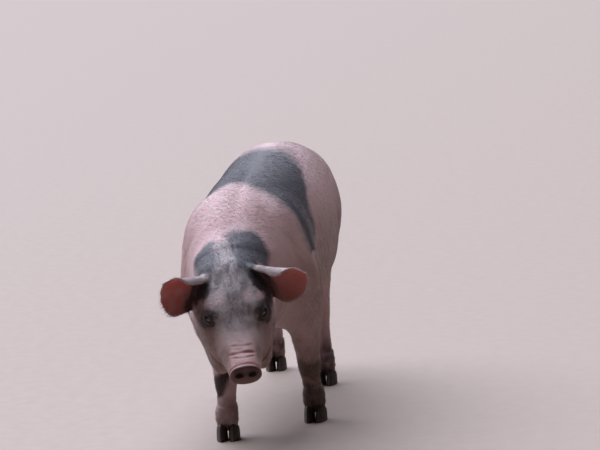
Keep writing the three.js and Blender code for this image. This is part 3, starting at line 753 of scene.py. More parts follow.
@dataclass
class TailForm:
    """A thin tail that hangs from the croup and makes one turn to the left."""

    root: Triple = (-5.0, 322.0, 376.0)
    reach: float = 36.0
    drop: float = 34.0
    turn: float = 15.0
    turns: float = 1.15
    pitch: float = 14.0
    radii: tuple[float, ...] = (13.0, 8.5, 6.3, 5.3, 4.5, 3.8, 3.0)
    coat: float = 0.5

    def __post_init__(self) -> None:
        """Lays out the tail's axis and its radii."""
        x, y, z = self.root
        share = np.linspace(0.0, 1.0, 15)
        angle = share * self.turns * 2 * math.pi
        coil = np.stack(
            [
                x + self.turn * (1 - np.cos(angle)) - 4.0,
                y + self.reach + self.pitch * share * 0.6,
                z - self.drop - self.turn * np.sin(angle) - self.pitch * share,
            ],
            axis=1,
        )
        start = [[x, y - 22, z + 8], [x, y, z], [x - 2, y + self.reach * 0.55, z - self.drop * 0.35]]
        self.axis = curve_through(np.vstack([start, coil]), 3)
        run = np.concatenate([[0.0], np.cumsum(np.linalg.norm(np.diff(self.axis, axis=0), axis=1))])
        self.run = run
        self.radius = np.interp(run / run[-1], np.linspace(0, 1, len(self.radii)), self.radii)

    def nearest(self, p: Array) -> tuple[Array, Array]:
        """Distances of points to the tail's skin, and their places along it.

        Args:
            p: Points.

        Returns:
            Distances, negative inside, and places from the root.
        """
        best, place = np.full(len(p), FAR), np.zeros(len(p))
        for k in range(len(self.axis) - 1):
            a, d = self.axis[k], self.axis[k + 1] - self.axis[k]
            u = np.clip((p - a) @ d / (d @ d), 0.0, 1.0)
            radius = self.radius[k] + (self.radius[k + 1] - self.radius[k]) * u
            away = np.linalg.norm(p - a - u[:, None] * d, axis=1) - radius
            closer = away < best
            best = np.where(closer, away, best)
            place = np.where(closer, self.run[k] + (self.run[k + 1] - self.run[k]) * u, place)
        return best + self.coat, place


# Each joint: across, along and up, then the radii across and along.
LIMB_JOINTS = {
    "fore_left": (
        (62, -205, 262, 40, 54), (66, -190, 205, 34, 45), (66, -178, 160, 26, 31), (66, -168, 122, 21, 24),
        (66, -163, 98, 20, 22), (67, -160, 72, 16.5, 17.5), (68, -153, 44, 18, 19),
    ),
    "fore_right": (
        (84, -212, 262, 38, 54), (81, -210, 205, 33, 45), (71, -230, 160, 25, 31), (65, -250, 122, 20.5, 24),
        (64, -256, 98, 19.5, 22), (65, -255, 72, 16.5, 17.5), (67, -256, 44, 18, 19),
    ),
    "hind_left": (
        (46, 192, 312, 42, 72), (48, 166, 252, 36, 57), (49, 168, 205, 27, 40), (48, 186, 160, 20, 27),
        (47, 194, 130, 18.5, 25), (48, 182, 92, 16, 18.5), (51, 160, 47, 17.5, 19),
    ),
    "hind_right": (
        (54, 222, 312, 42, 72), (58, 216, 252, 36, 58), (59, 248, 205, 28, 41), (59, 290, 160, 20, 28),
        (58, 312, 132, 19, 25), (58, 314, 92, 16.5, 18.5), (60, 318, 47, 18, 19),
    ),
}  # fmt: skip
# Each foot: its place across and along, then how far its toes turn out, in degrees.
FEET = {
    "fore_left": ((68, -155), 4.0),
    "fore_right": ((67, -262), 2.0),
    "hind_left": ((53, 150), 4.0),
    "hind_right": ((60, 314), 3.0),
}
OUT: Span = ("out", 48, 70)
NECK_LOW: tuple[Span, ...] = (("z", 300, 250), ("y", -300, -340))
BLADE: tuple[Span, ...] = (OUT, ("z", 226, 250), ("z", 352, 322))
ALONG_RIBS: tuple[Span, ...] = (("y", -150, -120), ("y", 110, 70))
RIB_CAGE: tuple[Span, ...] = (("wide", 60, 85), *ALONG_RIBS, ("z", 225, 260), ("z", 380, 340))
BODY_FOLDS = (
    Touch(2.2, (("nape", 4, 6),), NECK_LOW),
    Touch(1.6, (("nape", -16, 5),), NECK_LOW),
    Touch(1.2, (("nape", -34, 5),), NECK_LOW),
    Touch(5.0, (("x", -5, 12),), (("y", 288, 334), ("z", 376, 330))),
    Touch(0.16, (), RIB_CAGE, ("ribs",)),
    Touch(0.5, (("x", -6, 12),), (("z", 400, 425), ("y", 20, 120))),
)
SIDE_FOLDS = (
    Touch(2.4, (("blade", 0, 9),), BLADE),
    Touch(-1.1, (("blade", -20, 9),), BLADE),
    Touch(0.7, (("armpit", 0, 2.4), ("z", 322, 13)), (OUT,)),
    Touch(0.7, (("armpit", 3.15, 2.4), ("z", 316, 13)), (OUT,)),
    Touch(0.7, (("armpit", 6.3, 2.4), ("z", 310, 13)), (OUT,)),
    Touch(2.6, (("flank", 0, 10),), (OUT, ("z", 222, 246), ("z", 330, 290))),
    Touch(1.6, (("flank", -26, 8),), (OUT, ("z", 215, 232), ("z", 290, 262))),
    Touch(1.5, (("stifle", 0, 12),), (OUT, ("z", 190, 215), ("z", 320, 280))),
)
TEAT = Touch(-4.6, (("teat", 0, 3.6),), (("z", 236, 222),))
# Each muscle: its centre along and up, its radii, its lean in radians and the depth of its edge.
MUSCLES = (
    ((136.0, 322.0), (30.0, 52.0), 0.35, 3.0),
    ((-150.0, 262.0), (26.0, 34.0), 0.2, 1.8),
    ((-236.0, 352.0), (10.0, 62.0), -0.25, -1.1),
    ((-214.0, 372.0), (9.0, 44.0), -0.25, 1.2),
    ((262.0, 300.0), (8.0, 62.0), -0.30, 1.6),
    ((214.0, 330.0), (26.0, 40.0), 0.0, -1.2),
    ((176.0, 394.0), (24.0, 15.0), 0.0, -1.3),
    ((20.0, 250.0), (70.0, 22.0), 0.0, -0.9),
    ((-262.0, 300.0), (8.0, 44.0), 0.30, 1.3),
)
NEAR: Span = ("from_axis", 44, 34)
KNEE: tuple[Span, ...] = (NEAR, ("y", 6, -6))
LEG_FOLDS = (
    Touch(0.25, (("knee", -9, 1.8),), KNEE),
    Touch(0.5, (("knee", 0, 1.8),), KNEE),
    Touch(0.3, (("knee", 8, 1.8),), KNEE),
    Touch(0.2, (("knee", 15, 1.8),), KNEE),
    Touch(1.3, (("wide", 9, 3),), (NEAR, ("y", 4, 12), ("z", 66, 84))),
    Touch(0.9, (("fetlock", 61, 2.4),), (NEAR,)),
    Touch(-1.3, (("coronet", 32, 4.5),), (NEAR,)),
    Touch(1.8, (("x", 0, 3.4),), (NEAR, ("z", 46, 34), ("y", 2, -8))),
)


@dataclass
class PigForm:
    """The whole animal as one distance, part by part."""

    trunk: TrunkForm = field(default_factory=TrunkForm)
    head: HeadForm = field(default_factory=HeadForm)
    tail: TailForm = field(default_factory=TailForm)
    head_box: tuple[Triple, Triple] = ((-128, -600, 100), (118, -300, 372))
    ear_box: tuple[Triple, Triple] = ((-150, -540, 200), (140, -350, 350))
    tail_box: tuple[Triple, Triple] = ((-50, 288, 270), (70, 400, 420))
    trunk_start: float = -500.0
    limb_fillet: float = 26.0
    neck_fillet: tuple[float, float] = (34.0, 20.0)
    ear_fillet: float = 7.0
    tail_fillet: float = 12.0
    fold_plane: tuple[Triple, Triple] = ((-24.0, -391.0, 325.0), (0.22, -0.91, -0.34))
    limbs: dict[str, LimbForm] = field(default_factory=dict)
    ears: dict[str, EarForm] = field(default_factory=dict)

    def __post_init__(self) -> None:
        """Adds the ears and the limbs."""
        self.ears = {
            "left": EarForm(self.head, (49, -79, 1), (0.83, 0.42, 0.36), (-0.19, -0.36, 0.91), 0.9),
            "right": EarForm(self.head, (-48, -76, -4), (-0.73, 0.34, 0.59), (0.44, -0.4, 0.81)),
        }
        self.limbs = {
            name: LimbForm(1 if name.endswith("left") else -1, LIMB_JOINTS[name], foot, splay)
            for name, (foot, splay) in FEET.items()
        }

    def skull(self, p: Array) -> Array:
        """Distances of body points to the head."""
        return only(inside_box(p, *self.head_box), p, lambda q: self.head.distance(self.head.local(q)))

    def hanging(self, p: Array) -> Array:
        """Distances of body points to the tail."""
        return only(inside_box(p, *self.tail_box), p, lambda q: self.tail.nearest(q)[0])

    def distance(self, p: Array) -> Array:
        """Distances of body points to the smooth skin, without creases.

        Args:
            p: Points.

        Returns:
            Distances, negative inside.
        """
        d = only(p[:, 1] > self.trunk_start, p, self.trunk.distance)
        for limb in self.limbs.values():
            d = fillet(d, only(inside_box(p, *limb.box), p, limb.distance), self.limb_fillet)
        throat, nape = self.neck_fillet
        d = fillet(d, self.skull(p), throat + nape * ease(290.0, 325.0, p[:, 2]))
        for ear in self.ears.values():
            d = fillet(d, only(inside_box(p, *self.ear_box), p, ear.distance), self.ear_fillet)
        return fillet(d, self.hanging(p), self.tail_fillet)

    def creased(self, p: Array) -> Array:
        """Distances of body points to the skin with all its folds and wrinkles.

        Args:
            p: Points.

        Returns:
            Distances, negative inside.
        """
        d = self.distance(p)
        near = inside_box(p, *self.head_box)
        if near.any():
            q = self.head.local(p[near])
            d[near] += self.head.creases(q) * ease(-110.0, -80.0, q[:, 1])
        return d + self.body_creases(p) + self.muscles(p) + self.leg_creases(p)

    def body_creases(self, p: Array) -> Array:
        """How far folds, ribs and teats draw the body's skin in; negative swells it.

        Args:
            p: Points.

        Returns:
            Depths in millimetres.
        """
        x, y, z = p.T
        origin, normal = (np.array(row) for row in self.fold_plane)
        m = {
            "x": x, "y": y, "z": z, "wide": np.abs(x + 6.0),
            "nape": (p - origin) @ unit(normal) + 3.0 * np.sin(x * 0.05),
            "ribs": np.sin(y * 0.25 + 0.035 * z + 0.8 * np.sin(y * 0.06)),
            "blade": y + 214.0 + 0.10 * (z - 290.0) - 10.0 * bell(z - 330.0, 30.0),
            "armpit": 0.9 * (y + 262.0) + 0.35 * (z - 318.0), "flank": y - 146.0 - 0.42 * (z - 250.0),
            "stifle": y - 268.0 + 0.5 * (z - 250.0),
        }  # fmt: skip
        deep = summed(BODY_FOLDS, m)
        for side in (1, -1):
            m["out"] = side * (x + 12.0)
            deep += summed(SIDE_FOLDS, m)
            for k in range(6):
                m["teat"] = np.hypot(x + 7.0 - side * 27.0, y + 165.0 - k * 54.0)
                deep += TEAT.at(m)
        return deep

    def muscles(self, p: Array) -> Array:
        """How far the broad muscles' edges draw the trunk's skin in; negative swells it.

        Args:
            p: Points.

        Returns:
            Depths in millimetres.
        """
        x, y, z = p.T
        deep = np.zeros(len(p))
        for (cy, cz), (ry, rz), lean, depth in MUSCLES:
            c, s = math.cos(lean), math.sin(lean)
            along, up = y - cy, z - cz
            spot = np.hypot((along * c + up * s) / ry, (up * c - along * s) / rz)
            deep += depth * bell(spot, 0.9) * ease(30.0, 58.0, np.abs(x + 10.0))
        return deep

    def leg_creases(self, p: Array) -> Array:
        """How far wrinkles and tendons draw the skin of the legs in; negative swells it.

        Args:
            p: Points.

        Returns:
            Depths in millimetres.
        """
        deep = np.zeros(len(p))
        low = p[:, 2] < 175.0
        if not low.any():
            return deep
        x, y, z = p[low].T
        for name, limb in self.limbs.items():
            cx, cy = limb.centre_at(z)
            off, ahead = x - cx, y - cy
            m = {
                "x": off, "wide": np.abs(off), "y": ahead, "z": z, "from_axis": np.hypot(off, ahead),
                "knee": z - (112.0 if name.startswith("fore") else 138.0) - 0.08 * off,
                "fetlock": z - 0.15 * ahead, "coronet": z + 0.35 * ahead,
            }  # fmt: skip
            deep[low] += summed(LEG_FOLDS, m)
        return deep


# The skin as one mesh


def grid_lines(stretches: Sequence[tuple[float, float]]) -> Array:
    """Places along one axis of a grid whose spacing changes from stretch to stretch.

    Args:
        stretches: Where each stretch starts and its spacing; the last row is only the end.

    Returns:
        The places, in rising order.
    """
    out = []
    for (a, step), (b, _) in zip(stretches[:-1], stretches[1:]):
        out.append(np.linspace(a, b, max(1, round((b - a) / step)), endpoint=False))
    return np.append(np.concatenate(out), stretches[-1][0])


@dataclass
class Skin:
    """One closed mesh of quads over the whole animal, in the body's millimetres."""

    form: PigForm
    x: tuple = ((-138, 1.9), (-62, 1.1), (-26, 1.5), (-15, 1.15), (45, 1.5), (58, 1.9), (119, 0))
    y: tuple = (
        (-576, 1.2), (-520, 1.5), (-492, 1.05), (-446, 1.6), (-380, 2.5), (-300, 3.3), (294, 1.8), (375, 0)
    )  # fmt: skip
    z: tuple = (
        (12, 2.0), (62, 2.5), (145, 1.2), (194, 1.5), (230, 1.05), (259, 1.6), (312, 1.9), (398, 2.8),
        (453, 0),
    )  # fmt: skip
    block: int = 4
    margin: float = 5.0
    points: Array = field(init=False)
    quads: Array = field(init=False)
    normals: Array = field(init=False)

    def __post_init__(self) -> None:
        """Meshes the form, then settles the mesh on it."""
        lines = [grid_lines(axis) for axis in (self.x, self.y, self.z)]
        values = self.sample(lines)
        self.points, self.quads = self.net(lines, values)
        for pull in (0.0, 0.0, 0.5, 0.0, 0.4, 0.0):
            if pull:
                self.relax(pull)
            self.settle()
        self.normals = unit(self.slope(self.points)[1])

    def sample(self, lines: Sequence[Array]) -> Array:
        """Distances on the grid, exact near the surface and only signed elsewhere.

        Args:
            lines: Places of the grid along the three axes.

        Returns:
            One value for each grid point.
        """
        owner = [np.arange(len(axis)) // self.block for axis in lines]
        middles, reaches = [], []
        for axis, own in zip(lines, owner):
            low = axis[:: self.block]
            high = axis[np.minimum(np.arange(1, own[-1] + 2) * self.block, len(axis) - 1)]
            middles.append((low + high) / 2)
            reaches.append((high - low) / 2)
        shape = tuple(len(middle) for middle in middles)
        centres = np.stack(np.meshgrid(*middles, indexing="ij"), axis=-1).reshape(-1, 3)
        half = np.linalg.norm(np.stack(np.meshgrid(*reaches, indexing="ij"), axis=-1), axis=-1)
        coarse = self.form.distance(centres).reshape(shape)
        near = np.abs(coarse) < half * 1.25 + self.margin
        spread = np.ix_(*owner)
        values = np.where(coarse < 0, -FAR, FAR).astype(np.float32)[spread]
        wanted = np.argwhere(near[spread])
        spots = np.stack([lines[axis][wanted[:, axis]] for axis in range(3)], axis=1)
        LOG.info("skin: %d grid points near the surface", len(spots))
        values[tuple(wanted.T)] = self.form.distance(spots)
        return values

    def net(self, lines: Sequence[Array], values: Array) -> tuple[Array, Array]:
        """Surface through the sign changes of a grid.

        Args:
            lines: Places of the grid along the three axes.
            values: Distances at its points.

        Returns:
            Points, one for each crossed cell, and quads between them.
        """
        inside = values < 0
        cells = tuple(n - 1 for n in values.shape)
        corners = [np.array([(c >> axis) & 1 for axis in range(3)]) for c in range(8)]
        count = np.zeros(cells, np.uint8)
        for c in corners:
            count += inside[c[0] : c[0] + cells[0], c[1] : c[1] + cells[1], c[2] : c[2] + cells[2]]
        crossed = (count > 0) & (count < 8)
        where = np.argwhere(crossed)
        number = np.full(cells, -1, np.int32)
        number[crossed] = np.arange(len(where))
        depth = np.stack([values[tuple((where + c).T)] for c in corners], axis=1)
        total, crossings = np.zeros((len(where), 3)), np.zeros(len(where))
        for i in range(8):
            for axis in range(3):
                j = i | (1 << axis)
                if j == i:
                    continue
                cut = (depth[:, i] < 0) != (depth[:, j] < 0)
                share = depth[cut, i] / (depth[cut, i] - depth[cut, j])
                total[cut] += corners[i]
                total[cut, axis] += share
                crossings[cut] += 1
        offset = total / crossings[:, None]
        points = np.empty_like(offset)
        for axis, share in enumerate(offset.T):
            before, after = lines[axis][where[:, axis]], lines[axis][where[:, axis] + 1]
            points[:, axis] = before * (1 - share) + after * share
        quads = []
        for axis in range(3):
            u, v = (axis + 1) % 3, (axis + 2) % 3
            first = [slice(1, -1)] * 3
            first[axis] = slice(0, -1)
            second = list(first)
            second[axis] = slice(1, None)
            a, b = inside[tuple(first)], inside[tuple(second)]
            for starts, turn in ((a & ~b, 1), (b & ~a, -1)):
                low = np.argwhere(starts)
                low[:, [u, v]] += 1
                ring = []
                for du, dv in ((0, 0), (1, 0), (1, 1), (0, 1))[::turn]:
                    spot = low.copy()
                    spot[:, u] -= du
                    spot[:, v] -= dv
                    ring.append(number[tuple(spot.T)])
                quads.append(np.stack(ring, axis=1))
        return points, np.vstack(quads)

    def slope(self, p: Array, step: float = 0.2) -> tuple[Array, Array]:
        """Distances at points and how they rise along each axis.

        Args:
            p: Points.
            step: How far apart the slope is measured.

        Returns:
            Distances, and rises in three columns.
        """
        d = self.form.creased(p)
        rise = [(self.form.creased(p + step * np.eye(3)[axis]) - d) / step for axis in range(3)]
        return d, np.stack(rise, axis=1)

    def settle(self, limit: float = 2.0) -> None:
        """Moves the points onto the creased surface, by at most the limit.

        Args:
            limit: Longest move in millimetres.
        """
        d, rise = self.slope(self.points)
        steep = np.maximum((rise**2).sum(axis=1), 0.2)
        self.points -= np.clip(d / steep, -limit, limit)[:, None] * rise
        self.normals = unit(rise)

    def relax(self, pull: float) -> None:
        """Evens the mesh out along the surface.

        Args:
            pull: Share of the way that each point moves to the middle of its neighbours.
        """
        total, count = np.zeros_like(self.points), np.zeros(len(self.points))
        for k in range(4):
            a, b = self.quads[:, k], self.quads[:, (k + 1) % 4]
            for source, target in ((a, b), (b, a)):
                for axis in range(3):
                    total[:, axis] += np.bincount(target, self.points[source, axis], len(self.points))
                count += np.bincount(target, minlength=len(self.points))
        move = total / np.maximum(count, 1)[:, None] - self.points
        move -= (move * self.normals).sum(axis=1, keepdims=True) * self.normals
        self.points += pull * move


# Parts of the surface, lie of the coat and markings


class Part(Enum):
    """Parts of the animal's surface."""

    TRUNK = "trunk"
    HEAD = "head"
    EAR_LEFT = "ear_left"
    EAR_RIGHT = "ear_right"
    TAIL = "tail"
    FORE_LEFT = "fore_left"
    FORE_RIGHT = "fore_right"
    HIND_LEFT = "hind_left"
    HIND_RIGHT = "hind_right"


LEGS = (Part.FORE_LEFT, Part.FORE_RIGHT, Part.HIND_LEFT, Part.HIND_RIGHT)
EARS = {Part.EAR_LEFT: "left", Part.EAR_RIGHT: "right"}


@dataclass
class Places:
    """Points on the skin with what the coat and the markings ask about them."""

    form: PigForm
    p: Array
    normals: Array
    owner: Array = field(init=False)

    def __post_init__(self) -> None:
        """Finds each point's part and its place on the head and on the ears."""
        form, p = self.form, self.p
        self.head = form.head.local(p)
        distances = {Part.TRUNK: form.trunk.distance(p), Part.HEAD: form.skull(p), Part.TAIL: form.hanging(p)}
        for part, name in EARS.items():
            distances[part] = only(inside_box(p, *form.ear_box), p, form.ears[name].distance)
        for part in LEGS:
            limb = form.limbs[part.value]
            held_off = ease(215.0, 262.0, p[:, 2]) * 14.0
            distances[part] = only(inside_box(p, *limb.box), p, limb.distance) + held_off
        self.distances = distances
        self.owner = np.argmin(np.stack([self.distances[part] for part in Part]), axis=0)
        self.weights = {part: ease(9.0, -1.0, self.distances[part]) for part in Part}

    def of(self, part: Part) -> Array:
        """Mask of the points that belong to a part."""
        return self.owner == list(Part).index(part)

    def lie(self) -> Array:
        """Directions in which the hair lies, along the skin.

        Returns:
            One direction of length 1 for each point.
        """
        form, p, n = self.form, self.p, self.normals
        x, y, z = p.T
        side = np.tanh((x + 8.0) / 14.0)
        behind = ease(230.0, 325.0, y)
        down = -0.95 * np.abs(side) * (1.0 - behind) - 0.1 - 1.5 * behind
        flow = np.stack([1.3 * side * ease(250.0, 420.0, z), 0.62 * (1.0 - 0.8 * behind), down], axis=1)
        along_neck = np.stack([0.5 * side, np.full(len(p), 0.9), -0.65 * np.abs(side) + 0.15], axis=1)
        flow = self.blended(flow, along_neck, ease(-190.0, -330.0, y))
        a, _, crown = self.head.T
        spread = unit(np.stack([a / 60.0, np.full(len(p), -1.0), 0.35 + crown / 160.0], axis=1))
        flow = self.blended(flow, spread @ form.head.axes, ease(34.0, -22.0, self.distances[Part.HEAD]))
        for part in LEGS:
            down = np.tile([0.0, 0.22, -1.0], (len(p), 1))
            flow = self.blended(flow, down, self.weights[part] * ease(265.0, 200.0, z))
        for part, name in EARS.items():
            ear = form.ears[name]
            b = ((p - ear.place) @ ear.axes.T)[:, 1]
            fan = ear.axes[0] + (b / 70.0)[:, None] * ear.axes[1]
            flow = self.blended(flow, fan, self.weights[part])
        tail = self.of(Part.TAIL)
        if tail.any():
            place = form.tail.nearest(p[tail])[1]
            axis, run = form.tail.axis, form.tail.run
            steps = [np.interp(place + 3, run, c) - np.interp(place - 3, run, c) for c in axis.T]
            flow[tail] = np.stack(steps, axis=1)
        flow = unit(flow)
        return unit(flow - (flow * n).sum(axis=1, keepdims=True) * n)

    @staticmethod
    def blended(flow: Array, other: Array, share: Array) -> Array:
        """Directions turned towards others by a share from 0 to 1."""
        return flow * (1.0 - share[:, None]) + other * share[:, None]

    def chart(self, part: Part) -> Array:
        """Places on an unwrap of one part, as two columns.

        Args:
            part: The part; every point is unwrapped as if it belonged to it.

        Returns:
            Along the part and around it.
        """
        form, p = self.form, self.p
        if part in EARS:
            along, across, off, _ = form.ears[EARS[part]].sheet(p)
            return np.stack([along, across + 120.0 * (off > 0)], axis=1)
        if part is Part.HEAD:
            x, t, z = self.head.T
            return np.stack([t, np.arctan2(x, z + 35.0) * 50.0], axis=1)
        if part is Part.TAIL:
            place = form.tail.nearest(p)[1]
            return np.stack([place, np.arctan2(p[:, 2] - 350.0, p[:, 0]) * 8.0], axis=1)
        if part in LEGS:
            cx, cy = form.limbs[part.value].centre_at(p[:, 2])
            return np.stack([p[:, 2], np.arctan2(p[:, 0] - cx, cy - p[:, 1]) * 25.0], axis=1)
        return np.stack([p[:, 1], np.arctan2(p[:, 0] + 10.0, p[:, 2] - 310.0) * 110.0], axis=1)


@dataclass(frozen=True)
class Patch:
    """A rounded patch of dark skin."""

    at: Triple
    radii: Triple
    on_head: bool = False
    slate: float = 0.0
    strength: float = 1.0

    def inside(self, places: Places, warp: Array) -> Array:
        """How far inside the patch points lie, in millimetres.

        Args:
            places: The points.
            warp: How far the pattern is pushed at each of them.

        Returns:
            One depth for each point, negative outside.
        """
        source = places.head if self.on_head else places.p
        offset = (source + warp - np.array(self.at)) / np.array(self.radii)
        return (1.0 - np.linalg.norm(offset, axis=1)) * min(self.radii)


MARKS = ("dark", "slate", "ash", "blush", "soil", "mud", "inner", "wet", "lip")
# The saddle's edges on the left and the right side: height, then its places along at the front and behind.
LEFT_EDGE = (
    (262, -224, -250), (297, -223, -218), (305, -226, -179), (321, -227, -128), (340, -229, -122),
    (358, -231, -120), (374, -231, -107), (390, -229, -82), (405, -217, -54), (421, -216, -9),
    (431, -215, 15), (439, -214, 44), (447, -212, 70),
)  # fmt: skip
RIGHT_EDGE = (
    (240, -216, -250), (262, -215, -205), (275, -215, -150), (300, -212, -95), (335, -200, -40),
    (370, -186, 8), (405, -180, 52), (430, -190, 76), (447, -207, 84),
)  # fmt: skip
# How the pattern is pushed about: shift between the axes, size and amount of each noise.
WARP = ((40.0, 24.0, 5.0), (-90.0, 9.0, 2.6), (15.0, 4.0, 1.2))
STOCKINGS = {Part.FORE_RIGHT: (78.0, 116.0), Part.FORE_LEFT: (74.0, 106.0)}
BROW: tuple[Span, ...] = (("t", -165, -130), ("crown", -14, 4))
MIDDLE = Touch(1.0, (("side", -1, 21),), (*BROW, ("t", 4, -20)), ("poll",))
GRIZZLE = Touch(1.0, (), (*BROW, ("t", -120, -80), ("t", 76, 22), ("wide", 46, 32)), ("poll",))
SPOTS = Touch(1.0, (("spot", 0, 1),), (("crown", -8, 4),), ("head",))
# Painted shade along the line between the lips.
MOUTH_SHADE = Touch(0.45, (("mouth", 0, 2.4),), (("t", 44, 66),), ("head",))
BLUSH = (
    Touch(0.20),
    Touch(0.17, by=("broad",)),
    Touch(0.14, by=("fine",)),
    # Painted sheen: the top of the back is paler and less red.
    Touch(-0.14, (), (("z", 360, 420),)),
    Touch(0.38, (), (("t", 58, 80), ("wide", 40, 24), ("crown", -24, -6)), ("head",)),
    Touch(0.25, (), (("crown", -30, -62),), ("head",)),
    # Painted shade in the creases: the folds of the snout are darker and redder.
    Touch(0.6, by=("folds",)),
)
HIND: Span = ("y", -225, -165)
CHEST: tuple[Span, ...] = (("z", 330, 240), ("y", -165, -225))
FACE: tuple[Span, ...] = (("t", -40, 10), ("t", 96, 76))
CHEEK: tuple[Span, ...] = (("wide", 24, 44), ("t", -60, -20), ("t", 70, 40))
# Brown grime on the legs, and brown painted shade with some grime on the lower body, the front of the right
# arm, the face, the cheeks and under the jaw.
SOIL_AND_SHADE = (
    Touch(0.34, by=("leg_dirt_and_shade",)),
    Touch(0.60, (), (("z", 190, 60),), ("leg_dirt_and_shade",)),
    Touch(0.22, by=("leg_dirt_and_shade", "clumps")),
    # Painted shade with some grime: the lower flank behind the shoulders and the lower chest are darker, the
    # chest more on its left, shaded side.
    Touch(0.76, (), (("z", 390, 270), HIND), ("trunk",)),
    Touch(0.18, (), (("z", 250, 200), HIND), ("trunk",)),
    Touch(0.37, (), CHEST, ("trunk",)),
    Touch(0.29, (), (("x", 0, 50), *CHEST), ("trunk",)),
    # Painted shade: a dark band down the front of the right arm.
    Touch(0.42, (("arm", 0, 1),), (("x", -24, -60),), ("off_head",)),
    # Painted shade with some browning: under the jaw, on the sides of the muzzle, over the face and the
    # bridge, and on the cheeks, more on the right one.
    Touch(0.6, (), (("crown", -30, -62),), ("head",)),
    Touch(0.62, (), (("t", 52, 82),), ("aside", "head")),
    Touch(0.38, (), FACE, ("head",)),
    Touch(0.12, (), FACE, ("head", "blotch")),
    Touch(0.32, (), CHEEK, ("head",)),
    Touch(0.26, (), (("side", 0, -30), *CHEEK), ("head",)),
    Touch(0.30, (), (("t", 20, 60), ("t", 118, 100)), ("head", "unfolded")),
)


